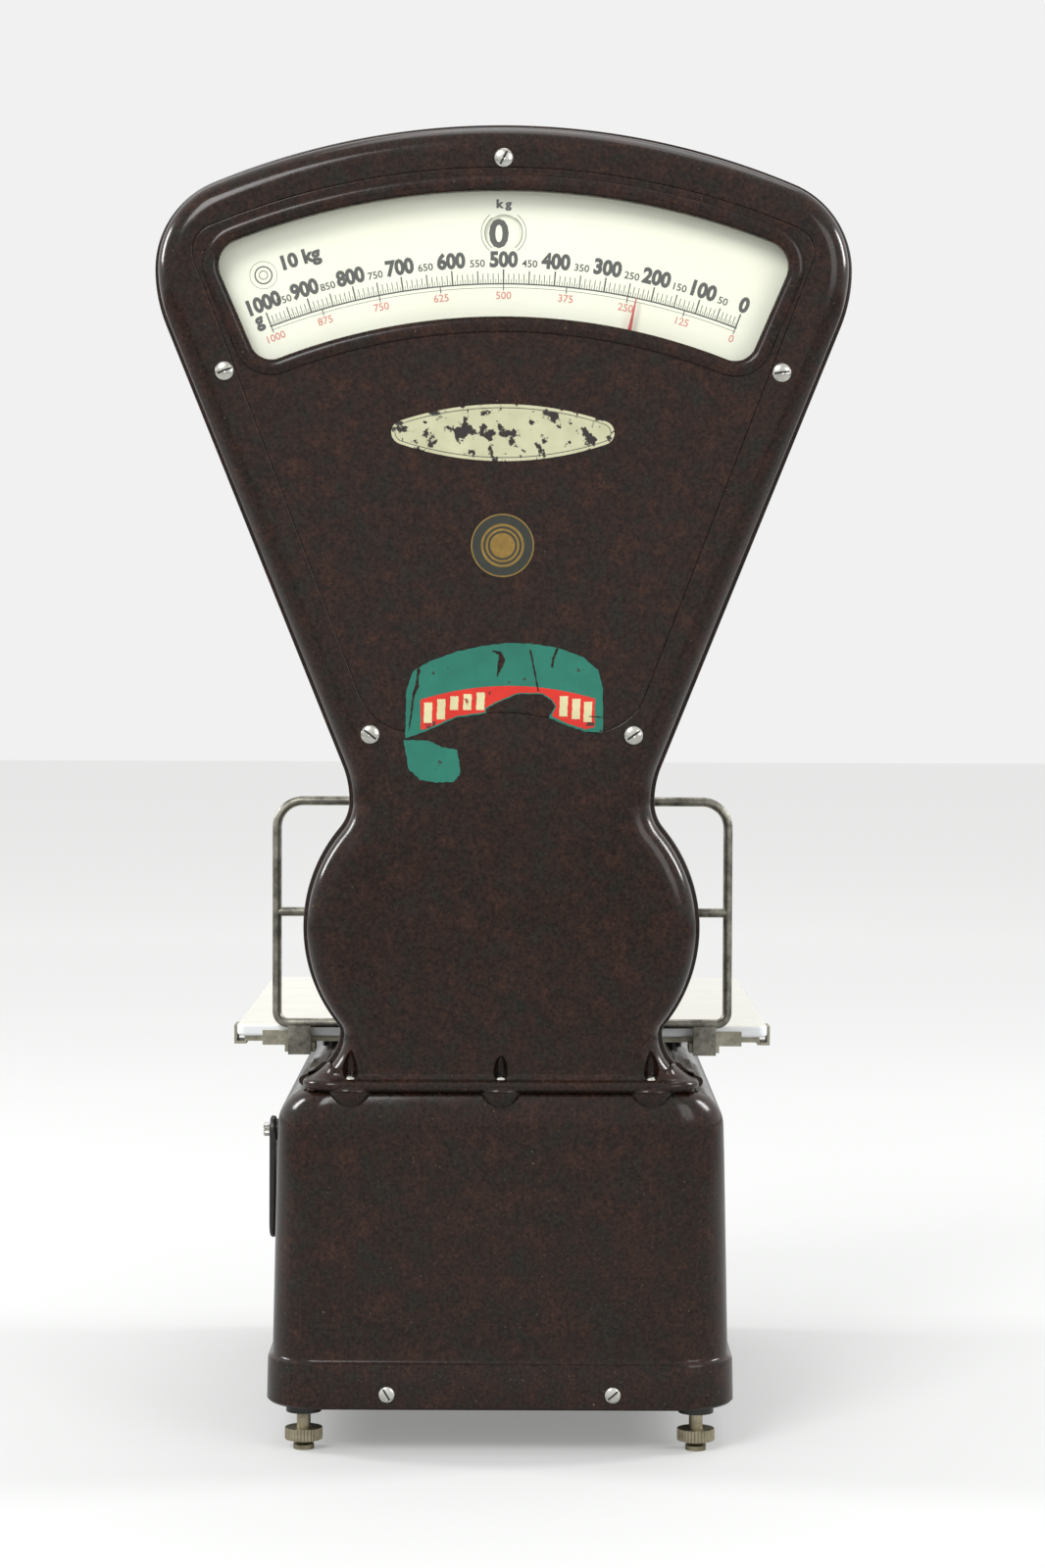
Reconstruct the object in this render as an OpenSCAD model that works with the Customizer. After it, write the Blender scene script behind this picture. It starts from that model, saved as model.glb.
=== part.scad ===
// Counter scale with a fan-shaped dial head, as grocers used: a long base under the
// goods plate, a lever in the base, and a pendulum with two pointers in the head.
// Origin: middle of the footprint, on the table. +Z is up, the customer stands at -Y.

/* [Overall] */
// Depth from the skirt screws in front to the plate clips behind
overall_d = 391; // [388:0.5:400]

/* [Feet] */
// Height of the base above the table
foot_h = 23.5; // [21:0.5:27]
// Distance of a foot from the side and end of the skirt
foot_in = 19.5; // [18:0.5:24]
// Radius of the levelling stud
stud_r = 3.5; // [3:0.1:4.5]
// Radius of the knurled wheel
wheel_r = 9.6; // [8:0.2:11]
// Thickness of the knurled wheel
wheel_t = 6; // [4:0.5:7]
// Radius of the pad on the table
pad_r = 5.3; // [5:0.1:8]
// Thickness of the pad
pad_t = 2.4; // [2:0.1:3.5]
// Radius of the lock nut
nut_r = 9; // [7:0.5:11]
// Thickness of the lock nut
nut_t = 4.2; // [3:0.2:5]

/* [Base] */
// Width of the base at its foot, above the skirt
base_w = 234; // [226:1:236]
// Width that the base loses from foot to top by its draft
base_draft = 6; // [2:0.5:8]
// How far the plate's clips reach behind the base's skirt
rear_over = 40.7; // [38:0.1:43]
// Height of the base housing
base_h = 160.5; // [156:0.5:168]
// Radius of the upright corners and top edges
base_r = 28; // [24:1:30]
// Height of the skirt
skirt_h = 23.5; // [20:0.5:28]
// How far the skirt stands proud
skirt_out = 2.4; // [1.5:0.1:4]
// Thickness of the moulded walls
wall = 4; // [3:0.5:5]
// Distance of each skirt screw from the middle
skirt_screw_x = 57; // [45:1:70]

/* [Head] */
// Height of the head above the base
head_h = 487; // [478:1:492]
// Depth of the head
head_d = 86; // [84:1:90]
// Depth of the front cover, from its face to the joint
front_cover_d = 20; // [18:1:24]
// Half of the widest width
head_hw = 175.2; // [171:0.2:178]
// Height of the widest width above the base
shoulder_h = 415; // [410:1:416]
// Radius of the top arc
top_r = 383; // [376:1:390]
// Lean of the sides from the vertical, in degrees
side_lean = 21.94; // [21.6:0.02:22.1]
// Half width at the waist
waist_hw = 76.5; // [75:0.5:78]
// Height of the waist above the base
waist_h = 146; // [144:1:148]
// Radius of the waist on its upper side
waist_r = 50; // [44:1:54]
// Half width of the bulge
bulge_hw = 99.9; // [98:0.5:102]
// Radius of the bulge
bulge_r = 78; // [76:1:82]
// Half width of the neck
neck_hw = 81; // [80:0.5:84]
// Height of the neck above the base
neck_h = 28; // [27:1:30]
// Radius of the flare under the neck
flare_r = 22; // [20:1:23]
// Half width of the neck flange
flange_hw = 102; // [100:0.5:104]
// Thickness of the neck flange
flange_t = 6; // [5:0.5:8]
// How far the flange stands proud of the face
flange_out = 5; // [4:0.5:6]
// Corner radius of the flange in plan
flange_r = 18; // [14:1:22]
// Radius of the rounded edge of each cover
edge_r = 12; // [9:0.5:13]
// How far the rear cover is larger than the front cover, all round
rim_out = 2.4; // [1.5:0.1:3]
// Distance of the outer neck screws from the middle
neck_screw_x = 76; // [70:1:80]

/* [Dial] */
// Height of the pointer shaft above the base
shaft_h = 81.5; // [78:0.5:84]
// Distance of the window's top from the panel's top
window_in = 11.7; // [10.7:0.1:14]
// Height of the window
window_h = 62.5; // [58:0.5:65]
// Half angle of the window
window_a = 23.3; // [22:0.1:23.6]
// Corner radius at the top of the window
window_rt = 13; // [10:0.5:15]
// Corner radius at the bottom of the window
window_rb = 11; // [9:0.5:13]
// Width of the raised bead round the window
bead_w = 8; // [6:0.5:9]
// Height of the raised bead
bead_t = 2; // [1:0.2:3]
// Width of the cover's rim over the panel
panel_rim = 22.5; // [20:0.1:24]
// Lean of the panel's sides, in degrees
panel_lean = 20.9; // [20.6:0.05:21.2]
// Distance of the panel's sides from the shaft, square to them
panel_side = 25; // [24:0.5:26]
// Corner radius at the top of the panel
panel_rt = 14; // [12:0.5:18]
// Corner radius at the foot of the panel
panel_rf = 30; // [26:1:34]
// Height of the panel's foot above the shaft
panel_foot_h = 100; // [97:0.5:103]
// Radius of the arch in the panel's foot
arch_r = 103; // [95:1:115]
// Thickness of the panel
panel_t = 4; // [3:0.5:5]
// Width of the ledge that the panel lies on
ledge_w = 6; // [5:0.5:7]
// Thickness of the ledge
ledge_t = 3; // [2:0.5:3.5]
// Thickness of the window glass
glass_t = 2; // [1.5:0.1:2.4]
// How far the glass reaches past the window
glass_lap = 4; // [3:0.2:5]
// Thickness of the dial sheet
dial_t = 1; // [0.6:0.1:1.4]
// How far the dial reaches below the window
dial_lap = 10.8; // [8:0.2:13]
// Half angle of the dial
dial_a = 24.7; // [24:0.1:25]
// Height of the graduated line above the window's lower edge
scale_h = 17.2; // [15:0.2:20]
// Radius of the round opening for the kilogram number
kg_r = 9.3; // [8.5:0.1:10]
// Distance of that opening from the window's top
kg_in = 19.7; // [18:0.1:22]
// Angle of the pointers at rest, to the right seen from the customer
rest_a = 11.85; // [8:0.05:14]
// Width of a pointer where it enters the window
pointer_w = 2.4; // [1.6:0.1:3.6]
// Thickness of a pointer
pointer_t = 0.8; // [0.5:0.1:1]

/* [Screws and badges] */
// Radius of the cover screw heads
screw_head_r = 4.9; // [4:0.1:5.5]
// Height of the domed cover screw heads
screw_dome = 2.2; // [1.5:0.1:3]
// Radius of the cover screw shanks
screw_r = 2.5; // [2:0.1:3]
// Radius of the skirt screw heads
skirt_head_r = 4.1; // [3.5:0.1:5]
// Height of the skirt screw heads
skirt_dome = 1.5; // [1:0.1:2]
// Radius of the neck screw heads
neck_head_r = 3.6; // [3:0.1:4]
// Height of the neck screw heads
neck_dome = 2.2; // [1.5:0.1:3]
// Width of the name plate
name_w = 112; // [100:1:120]
// Height of the name plate
name_h = 28.5; // [24:0.5:32]
// Radius of the name plate's ends
name_end_r = 6; // [4:0.5:8]
// Height of the name plate's middle above the base
name_z = 332; // [326:1:338]
// Radius of the round badge
badge_r = 16; // [13:0.5:18]
// Height of the badge's middle above the base
badge_z = 275.5; // [268:1:282]
// Half width of the paper sticker
paper_hw = 51; // [45:1:52]
// Height of the sticker's top above the base
paper_z = 226.5; // [222:0.5:230]
// Radius of the sticker's arched top
paper_r = 80; // [66:1:100]
// Thickness of plate, badge and sticker
label_t = 0.6; // [0.4:0.1:1]

/* [Goods plate] */
// Width of the opal glass plate
plate_w = 284; // [276:1:292]
// Gap between the head and the plate
head_gap = 21.6; // [20.6:0.1:24]
// Thickness of the plate
plate_t = 6.6; // [6:0.2:8]
// Height of the plate's top above the base
plate_h = 22.4; // [22:0.2:24]
// Thickness of the steel frame under the plate
spider_t = 3; // [2.5:0.1:3.4]
// Width of the frame's bars
spider_w = 14; // [12:1:18]
// Thickness of the corner clips
clip_t = 1.5; // [1:0.1:2]
// Width of each corner clip
clip_w = 16; // [12:1:20]
// Radius of the four posts
post_r = 3; // [2.5:0.1:3.5]
// Distance of the posts from the middle
post_x = 92; // [88:1:93]
// Distance of the front posts from the plate's front edge
post_front_in = 20; // [18:0.5:22]
// Distance of the rear posts from the back of the base
post_rear_in = 36.4; // [34:0.2:38]

/* [Rail] */
// Radius of the rail's rod
rail_r = 2.45; // [2:0.05:2.8]
// Half of the rail's outer width
rail_hw = 122.4; // [118:0.2:126]
// Height of the top bar above the plate
rail_h = 119.8; // [112:0.5:126]
// Height of the middle bar above the plate
rail_mid_h = 60.6; // [54:0.5:66]
// Height of the bottom bar above the plate
rail_low_h = 1.2; // [0.6:0.2:3]
// Radius of the upper corners
rail_rt = 14; // [11:0.5:17]
// Radius of the lower corners
rail_rb = 6; // [5:0.5:9]
// Distance of the rail's feet from the middle
rail_foot_x = 108; // [104:1:110]
// Width of each foot
rail_foot_w = 12; // [9:0.5:14]
// Thickness of each foot
rail_foot_t = 4; // [3:0.5:4.5]

/* [Lever work] */
// Distance of the fulcrum from the back of the base
fulcrum_in = 22.4; // [21:0.2:24]
// Height of the knife edges above the table
edge_z = 120; // [117:1:123]
// Short arm of the lever, fulcrum to load
load_arm = 70; // [68:0.5:72]
// Height of the lever's bars
lever_t = 14; // [12:1:15]
// Width of the lever's bars
lever_w = 8; // [7:0.5:9]
// Distance of the lever's side bars from the middle
lever_x = 52; // [50:0.5:54]
// Width of each knife at its back
knife_w = 8; // [7:0.5:9]
// Height of each knife
knife_h = 7; // [6:0.5:7]
// Clearance at knife edges and other idle gaps
gap = 0.4; // [0.35:0.05:0.6]
// Height of the check link above the table
link_z = 66; // [62:1:70]
// Radius of the check link's pins
link_pin_r = 3; // [2.5:0.1:3.5]
// Radius of the pull rod
rod_r = 2.5; // [2:0.1:3]
// Radius of the dashpot cylinder
dash_r = 16; // [14:0.5:18]
// Height of the dashpot cylinder
dash_h = 50; // [46:1:52]

/* [Pendulum] */
// Radius of the quadrant
quadrant_r = 39.5; // [38:0.5:41]
// Thickness of the quadrant
quadrant_t = 8; // [6:0.5:10]
// Thickness of the steel bands
band_t = 0.4; // [0.2:0.05:0.5]
// Width of the steel bands
band_w = 5; // [4:0.5:6]
// Radius of the pendulum shaft
shaft_r = 4; // [3.5:0.1:4.5]
// Outer radius of the ball bearings
bearing_r = 11; // [10:0.5:12]
// Length from the shaft to the middle of the bob
bob_l = 52; // [48:1:54]
// Radius of the bob
bob_r = 20; // [17:0.5:21]
// Thickness of the bob
bob_t = 20; // [16:1:22]
// Thickness of the frame's two plates
frame_t = 8; // [6:0.5:9]

/* [Kilogram selector] */
// Height of the selector's axis above the table
selector_z = 158.5; // [156:0.5:161]
// Length of the selector's paddle below its axis
paddle_l = 56; // [50:1:58]
// Width of the paddle at its widest
paddle_w = 17; // [14:0.5:20]
// Thickness of the paddle
paddle_t = 3.3; // [2.6:0.1:3.8]
// Distance of the upright shaft from the middle
upright_x = 57; // [56:0.5:58]
// Radius of the selector's shafts
drive_r = 3; // [2.6:0.1:3.4]
// Radius of the bevel wheels
bevel_r = 10; // [8:0.5:11]
// Teeth of each number wheel
teeth = 29; // [25:1:33]
// Radius of a number disc
disc_r = 42; // [40:0.5:44]
// Distance of the numbers from the middle of their disc
number_r = 32; // [30:0.5:33]
// Number of lifting weights
weight_n = 9; // [6:1:9]
// Radius of a lifting weight
weight_r = 23; // [20:0.5:24]
// Height of a lifting weight
weight_t = 6.4; // [5:0.2:6.6]
// Distance between one weight and the next
weight_step = 8.2; // [7.8:0.1:8.4]

/* [Hidden] */
$fn = 48;

half_d = overall_d / 2;
// Base levels and faces
base_top = foot_h + base_h;
roof_z = base_top - wall;
skirt_top = foot_h + skirt_h;
skirt_hx = base_w / 2 + skirt_out;
skirt_y0 = -half_d + skirt_dome;
skirt_y1 = half_d - rear_over;
base_d = overall_d - skirt_dome - rear_over - 2 * skirt_out;
foot_x = skirt_hx - foot_in;
foot_y0 = skirt_y0 + foot_in;
foot_y1 = skirt_y1 - foot_in;
base_y0 = skirt_y0 + skirt_out;
base_y1 = skirt_y1 - skirt_out;
fit = 0.05;
loose = 0.3;
// Base frame
bar_h = 12;
bar_w = 14;
frame_z0 = foot_h + 2;
frame_z1 = frame_z0 + bar_h;
boss_r = 12;
// Half widths of the cross bars under the fulcrum, the dashpot and the columns
stand_bar = 12;
dash_bar_f = 26;
dash_bar_r = 18;
column_bar = 8;
skirt_screw_z = frame_z0 + bar_h / 2;
skirt_shank_r = 2;
// Head levels and planes
shaft_z = base_top + shaft_h;
face_y = base_y0 + base_draft / 2 + flange_out;
back_y = face_y + head_d;
mid_y = (face_y + back_y) / 2;
apex_z = base_top + head_h;
top_c = apex_z - top_r;
panel_r = head_h - shaft_h - panel_rim;
window_ro = panel_r - window_in;
window_ri = window_ro - window_h;
dial_ro = panel_r - 3;
dial_ri = window_ri - dial_lap;
scale_r = window_ri + scale_h;
kg_h = window_ro - kg_in;
shoulder_z = base_top + shoulder_h;
waist_z = base_top + waist_h;
bulge_z = shaft_z;
neck_z = base_top + neck_h;
opening_hx = upright_x + 8;
opening_y0 = face_y + wall + 20;
opening_y1 = back_y - wall - 18;
neck_screw_y = face_y + 2;
neck_boss_r = 6;
neck_shank_r = 1.55;
// Panel, glass, dial and pointer planes of the front side
glass_y = face_y + panel_t;
pointer_y = glass_y + 4.6;
dial_y = glass_y + 8;
plate_y0 = dial_y + dial_t;
plate_y1 = plate_y0 + frame_t;
cross_t = 4;
rear_plate_y0 = 2 * mid_y - plate_y1;
rear_plate_y1 = 2 * mid_y - plate_y0;
disc_t = 2;
disc_z = shaft_z + kg_h - number_r;
// Goods plate levels
plate_z1 = base_top + plate_h;
plate_z0 = plate_z1 - plate_t;
spider_z0 = plate_z0 - spider_t;
plate_y_rear = half_d - clip_t;
plate_y_front = back_y + head_gap;
rail_y = plate_y_front - rail_r - 2.6;
post_front_y = plate_y_front + post_front_in;
post_rear_y = base_y1 - post_rear_in;
carrier_z0 = 158;
carrier_z1 = 166;
carrier_w = 12;
tie_x = 70;
// Lever work
fulcrum_y = base_y1 - fulcrum_in;
load_y = fulcrum_y - load_arm;
pull_x = quadrant_r + band_t / 2 + 0.3;
pull_y = plate_y1 + 3 + quadrant_t / 2;
knife_x0 = 30;
knife_x1 = lever_x - lever_w / 2;
lever_z0 = edge_z - lever_t / 2;
lever_z1 = edge_z + lever_t / 2;
tongue_w = 8;
yoke_t = 8;
dash_y = back_y - 2.4;
link_w = 12;
bob_y = 2 * mid_y - plate_y1 - bob_t / 2 - 2.5;
band_slack = 23.2;
hanger_slack = 6.8;
bob_arm_r = 4;
bearing_t = 7;
// Selector and weights
selector_y = mid_y + 0.6;
paddle_x = base_w / 2 - 0.9;
weight_bore = 6;
hanger_z = 48;
rack_z0 = roof_z - 13 - weight_n * weight_step;
comb_y = pull_y + 27;
guide_y = opening_y1 + 3;
guide_r = 3;

// Points of an arc round [cx, cz], from angle a0 to a1, without its first point
function arc(cx, cz, r, a0, a1, n) =
  [for (i = [1:n]) [cx + r * cos(a0 + (a1 - a0) * i / n), cz + r * sin(a0 + (a1 - a0) * i / n)]];
function flip(p) = [for (i = [len(p) - 1:-1:0]) [-p[i][0], p[i][1]]];
// Radius of an arc that is tangent to a circle of radius r whose centre lies h along and
// whose near side lies k across
function joining_r(k, h, r) = (k * k + h * h - r * r) / (2 * (r - k));

// Right half of the head's outline, inset by d, from the top middle down to zb
shoulder_dz = shoulder_z - top_c;
corner_r = (top_r * top_r - head_hw * head_hw - shoulder_dz * shoulder_dz) / (2 * (top_r - head_hw));
corner_x = head_hw - corner_r;
corner_a = atan2(shoulder_dz, corner_x);
waist_x = waist_hw + waist_r;
hip_r = (waist_x * cos(side_lean) - waist_r - head_hw * cos(side_lean)
  + (shoulder_z - waist_z) * sin(side_lean)) / (1 - cos(side_lean));
bulge_x = bulge_hw - bulge_r;
waist_low_r = joining_r(waist_hw - bulge_x, waist_z - bulge_z, bulge_r);
waist_a = atan2(waist_z - bulge_z, waist_hw + waist_low_r - bulge_x);
neck_r = joining_r(neck_hw - bulge_x, bulge_z - neck_z, bulge_r);
neck_a = atan2(bulge_z - neck_z, neck_hw + neck_r - bulge_x);
function half_outline(d, zb) = concat(
  arc(0, top_c, top_r - d, 90, corner_a, 12),
  arc(corner_x, shoulder_z, corner_r - d, corner_a, 0, 8),
  arc(head_hw - hip_r, shoulder_z, hip_r - d, 0, -side_lean, 4),
  arc(waist_x, waist_z, waist_r + d, 180 - side_lean, 180, 4),
  arc(waist_hw + waist_low_r, waist_z, waist_low_r + d, 180, 180 + waist_a, 5),
  arc(bulge_x, bulge_z, bulge_r - d, waist_a, -neck_a, 12),
  arc(neck_hw + neck_r, neck_z, neck_r + d, 180 - neck_a, 180, 4),
  arc(neck_hw + flare_r, neck_z, flare_r + d, 180, 258, 6),
  [[flange_hw - flange_out - d, zb]]);
function outline(d, zb) = concat([[0, apex_z - d]], half_outline(d, zb), flip(half_outline(d, zb)));

// Outline of the screwed panel, inset by d, in the plane of the face
panel_qa = panel_lean + asin((panel_side - panel_rt) / (panel_r - panel_rt));
panel_qx = (panel_r - panel_rt) * sin(panel_qa);
panel_qz = shaft_z + (panel_r - panel_rt) * cos(panel_qa);
panel_fz = panel_foot_h + panel_rf;
panel_fx = (panel_side - panel_rf + panel_fz * sin(panel_lean)) / cos(panel_lean);
arch_a = asin(panel_fx / arch_r);
arch_z = shaft_z + panel_foot_h - arch_r * cos(arch_a);
function half_panel(d) = concat(
  arc(0, shaft_z, panel_r - d, 90, 90 - panel_qa, 12),
  arc(panel_qx, panel_qz, panel_rt - d, 90 - panel_qa, -panel_lean, 6),
  arc(panel_fx, shaft_z + panel_fz, panel_rf - d, -panel_lean, -90, 8),
  arc(0, arch_z, arch_r + d, 90 - arch_a, 90, 8));
function panel_outline(d) = concat([[0, shaft_z + panel_r - d]], half_panel(d), flip(half_panel(d)));

// Outline of the window, inset by d
window_qt = window_a - asin(window_rt / (window_ro - window_rt));
window_qb = window_a - asin(window_rb / (window_ri + window_rb));
function half_window(d) = concat(
  arc(0, shaft_z, window_ro - d, 90, 90 - window_qt, 10),
  arc((window_ro - window_rt) * sin(window_qt), shaft_z + (window_ro - window_rt) * cos(window_qt),
    window_rt - d, 90 - window_qt, -window_a, 6),
  arc((window_ri + window_rb) * sin(window_qb), shaft_z + (window_ri + window_rb) * cos(window_qb),
    window_rb - d, -window_a, -90 - window_qb, 6),
  arc(0, shaft_z, window_ri + d, 90 - window_qb, 90, 10));
function window_outline(d) = concat([[0, shaft_z + window_ro - d]], half_window(d), flip(half_window(d)));

// Rounded rectangle in plan, from y0 to y1
function plan(hx, y0, y1, r) = concat(
  arc(hx - r, y1 - r, r, 90, 0, 8), arc(hx - r, y0 + r, r, 0, -90, 8),
  arc(-hx + r, y0 + r, r, -90, -180, 8), arc(-hx + r, y1 - r, r, 180, 90, 8));

module box(x0, x1, y0, y1, z0, z1) {
  translate([x0, y0, z0]) cube([x1 - x0, y1 - y0, z1 - z0]);
}
module rod_x(x0, x1, y, z, r) {
  translate([x0, y, z]) rotate([0, 90, 0]) cylinder(h = x1 - x0, r = r);
}
module rod_y(x, z, y0, y1, r) {
  translate([x, y0, z]) rotate([-90, 0, 0]) cylinder(h = y1 - y0, r = r);
}
module rod_z(x, y, z0, z1, r) {
  translate([x, y, z0]) cylinder(h = z1 - z0, r = r);
}
// A flat outline in the XZ plane, carried from y0 to y1
module sheet(points, y0, y1) {
  translate([0, y1, 0]) rotate([90, 0, 0]) linear_extrude(y1 - y0) polygon(points);
}
// A plan outline, carried from z0 to z1
module slab(points, z0, z1) {
  translate([0, 0, z0]) linear_extrude(z1 - z0) polygon(points);
}
module both_sides() {
  children();
  mirror([1, 0, 0]) children();
}
module rear_side() {
  translate([0, 2 * mid_y, 0]) mirror([0, 1, 0]) children();
}
// A slice of a cover from y0 to y1: its outline inset by d, with the given hollow cut out
module slice(d, y0, y1, hollow) {
  translate([0, y1, 0]) rotate([90, 0, 0]) linear_extrude(y1 - y0) difference() {
    polygon(outline(d, base_top));
    polygon(hollow);
  }
}
// How far a rounded edge of radius edge_r draws in at depth t behind the face
function draw_in(t) = edge_r - sqrt(edge_r * edge_r - (edge_r - t) * (edge_r - t));
// Dome of height h on a head of radius r, pointing at +Z from z = 0
module dome(r, h) {
  ball = (r * r + h * h) / (2 * h);
  intersection() {
    translate([0, 0, h - ball]) sphere(r = ball);
    cylinder(h = h, r = r);
  }
}
module slotted_dome(r, h) {
  difference() {
    dome(r, h);
    translate([-r, -r * 0.12, h * 0.45]) cube([2 * r, r * 0.24, h]);
  }
}
// Place of a cover screw, out from the panel's side line and along it from the shaft, above the base
function side_screw(s, along, out) = [
  s * ((panel_side + out) * cos(panel_lean) + along * sin(panel_lean)),
  shaft_h - (panel_side + out) * sin(panel_lean) + along * cos(panel_lean)];
upper_along = window_ri + 3.5;
lower_along = panel_foot_h + 16;
screw_places = [[0, shaft_h + panel_r + 4.6],
  side_screw(1, upper_along, 5.3), side_screw(-1, upper_along, 5.3),
  side_screw(1, lower_along, 1.7), side_screw(-1, lower_along, 1.7)];

// Feet
foot_taper_h = 2.6;
module levelling_foot(x, y) {
  color("#8b8268") {
    rod_z(x, y, 0, pad_t, pad_r);
    translate([x, y, pad_t]) cylinder(h = foot_taper_h, r1 = stud_r, r2 = wheel_r * 0.8);
    translate([x, y, pad_t + foot_taper_h]) difference() {
      cylinder(h = wheel_t, r = wheel_r);
      for (a = [0:10:350]) rotate([0, 0, a]) translate([wheel_r + 0.5, 0, -1])
        cylinder(h = wheel_t + 2, r = 1, $fn = 16);
    }
    rod_z(x, y, pad_t, frame_z1 + 3, stud_r);
  }
}
module levelling_foot_1() { levelling_foot(-foot_x, foot_y0); }
module levelling_foot_2() { levelling_foot(foot_x, foot_y0); }
module levelling_foot_3() { levelling_foot(foot_x, foot_y1); }
module levelling_foot_4() { levelling_foot(-foot_x, foot_y1); }
module at_feet() {
  for (x = [-foot_x, foot_x], y = [foot_y0, foot_y1]) translate([x, y, 0]) children();
}
module foot_lock_nuts() {
  color("#857c62") at_feet() difference() {
    rod_z(0, 0, foot_h - nut_t, foot_h, nut_r);
    rod_z(0, 0, foot_h - nut_t - 1, foot_h + 1, stud_r + fit);
  }
}

// Base
// Outer skin inset by d; each ball is enlarged a little so that its facets reach the true radius
hull_fn = 40;
module base_skin(d) {
  top = base_w / 2 - base_draft / 2;
  slope = base_draft / 2;
  hull() {
    for (x = [-1, 1]) {
      for (y = [base_y0 + slope + base_r, base_y1 - slope - base_r])
        translate([x * (top - base_r), y, base_top - base_r])
          sphere(r = (base_r - d) / cos(180 / hull_fn), $fn = hull_fn);
      for (y = [base_y0 + base_r, base_y1 - base_r])
        translate([x * (base_w / 2 - base_r), y, skirt_top - (d > 0 ? skirt_h + 1 : 1)])
          cylinder(h = 1, r = base_r - d, $fn = hull_fn);
    }
  }
}
// The collar under the head's flange fills the rounded edge of the base in front of the neck
collar_in = 0.4;
collar_hw = flange_hw - rim_out / 2 - collar_in;
module base_housing() {
  color("#2e2524") difference() {
    union() {
      difference() {
        union() {
          base_skin(0);
          slab(plan(skirt_hx, skirt_y0, skirt_y1, base_r + skirt_out), foot_h, skirt_top);
          slab(plan(collar_hw, face_y - flange_out + collar_in, back_y + flange_out - collar_in, flange_r),
            base_top - base_r, base_top);
        }
        base_skin(wall);
        slab(plan(base_w / 2 - wall, base_y0 + wall, base_y1 - wall, base_r - wall),
          foot_h - 1, skirt_top - 1);
      }
      for (x = [-neck_screw_x, 0, neck_screw_x], y = [neck_screw_y, 2 * mid_y - neck_screw_y])
        rod_z(x, y, base_top - 20, base_top, neck_boss_r);
    }
    box(-opening_hx, opening_hx, opening_y0, opening_y1, roof_z - 30, base_top + 1);
    for (x = [-post_x, post_x], y = [post_front_y, post_rear_y])
      rod_z(x, y, base_top - base_r, base_top + 1, post_r + 5);
    for (x = [-neck_screw_x, 0, neck_screw_x], y = [neck_screw_y, 2 * mid_y - neck_screw_y])
      rod_z(x, y, base_top - 14, base_top + 1, neck_shank_r + fit);
    for (x = [-skirt_screw_x, skirt_screw_x]) {
      rod_y(x, skirt_screw_z, skirt_y0 - 1, base_y0 + wall + 1, skirt_shank_r + fit);
      rod_y(x, skirt_screw_z, base_y1 - wall - 1, skirt_y1 + 1, skirt_shank_r + fit);
    }
    rod_x(-base_w / 2 - 1, -base_w / 2 + base_r, selector_y, selector_z, drive_r + 0.3);
    for (x = [-column_x, column_x], y = column_ys)
      rod_z(x, y, roof_z - 1, base_top + 1, column_stud_r + fit);
  }
}
module base_frame() {
  inner_hx = base_w / 2 - wall - 2 * loose;
  y0 = base_y0 + wall + 2 * loose;
  y1 = base_y1 - wall - 2 * loose;
  outer = plan(inner_hx, y0, y1, base_r - wall);
  color("#3c3b39") difference() {
    union() {
      translate([0, 0, frame_z0]) linear_extrude(bar_h) intersection() {
        polygon(outer);
        union() {
          difference() {
            polygon(outer);
            polygon(plan(inner_hx - bar_w, y0 + bar_w, y1 - bar_w, base_r - wall - bar_w / 2));
          }
          translate([-inner_hx, fulcrum_y - stand_bar]) square([2 * inner_hx, 2 * stand_bar]);
          translate([-inner_hx, dash_y - dash_bar_f]) square([2 * inner_hx, dash_bar_f + dash_bar_r]);
          for (x = [-column_x, column_x])
            translate([x - column_bar, y0]) square([2 * column_bar, dash_y - y0]);
        }
      }
      translate([0, 0, foot_h]) linear_extrude(frame_z1 - foot_h) intersection() {
        at_feet() circle(r = boss_r);
        polygon(outer);
      }
    }
    at_feet() rod_z(0, 0, foot_h - 1, frame_z1 + 1, stud_r + fit);
    for (x = [-skirt_screw_x, skirt_screw_x]) {
      rod_y(x, skirt_screw_z, y0 - 1, y0 + bar_w + 1, skirt_shank_r + fit);
      rod_y(x, skirt_screw_z, y1 - bar_w - 1, y1 + 1, skirt_shank_r + fit);
    }
  }
}
column_x = opening_hx + 9;
column_r = 5;
column_stud_r = 2;
column_nut_r = 4.2;
column_ys = [mid_y - 15, mid_y + 15];
module frame_columns() {
  color("#77736a") {
    for (x = [-column_x, column_x], y = column_ys) {
      rod_z(x, y, frame_z1, roof_z, column_r);
      rod_z(x, y, roof_z, base_top + frame_foot_t, column_stud_r);
      translate([x, y, base_top + frame_foot_t]) cylinder(h = 3, r = column_nut_r, $fn = 6);
    }
    rod_z(pull_x, guide_y, frame_z1, roof_z, guide_r);
  }
}
module skirt_screws() {
  color("#b9b7ae") for (x = [-skirt_screw_x, skirt_screw_x]) {
    for (s = [0, 1]) translate([x, s == 0 ? skirt_y0 : skirt_y1, skirt_screw_z])
      rotate([s == 0 ? 90 : -90, 0, 0]) {
        rotate([0, 0, 28]) slotted_dome(skirt_head_r, skirt_dome);
        translate([0, 0, -16]) cylinder(h = 16, r = skirt_shank_r);
      }
  }
}

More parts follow.
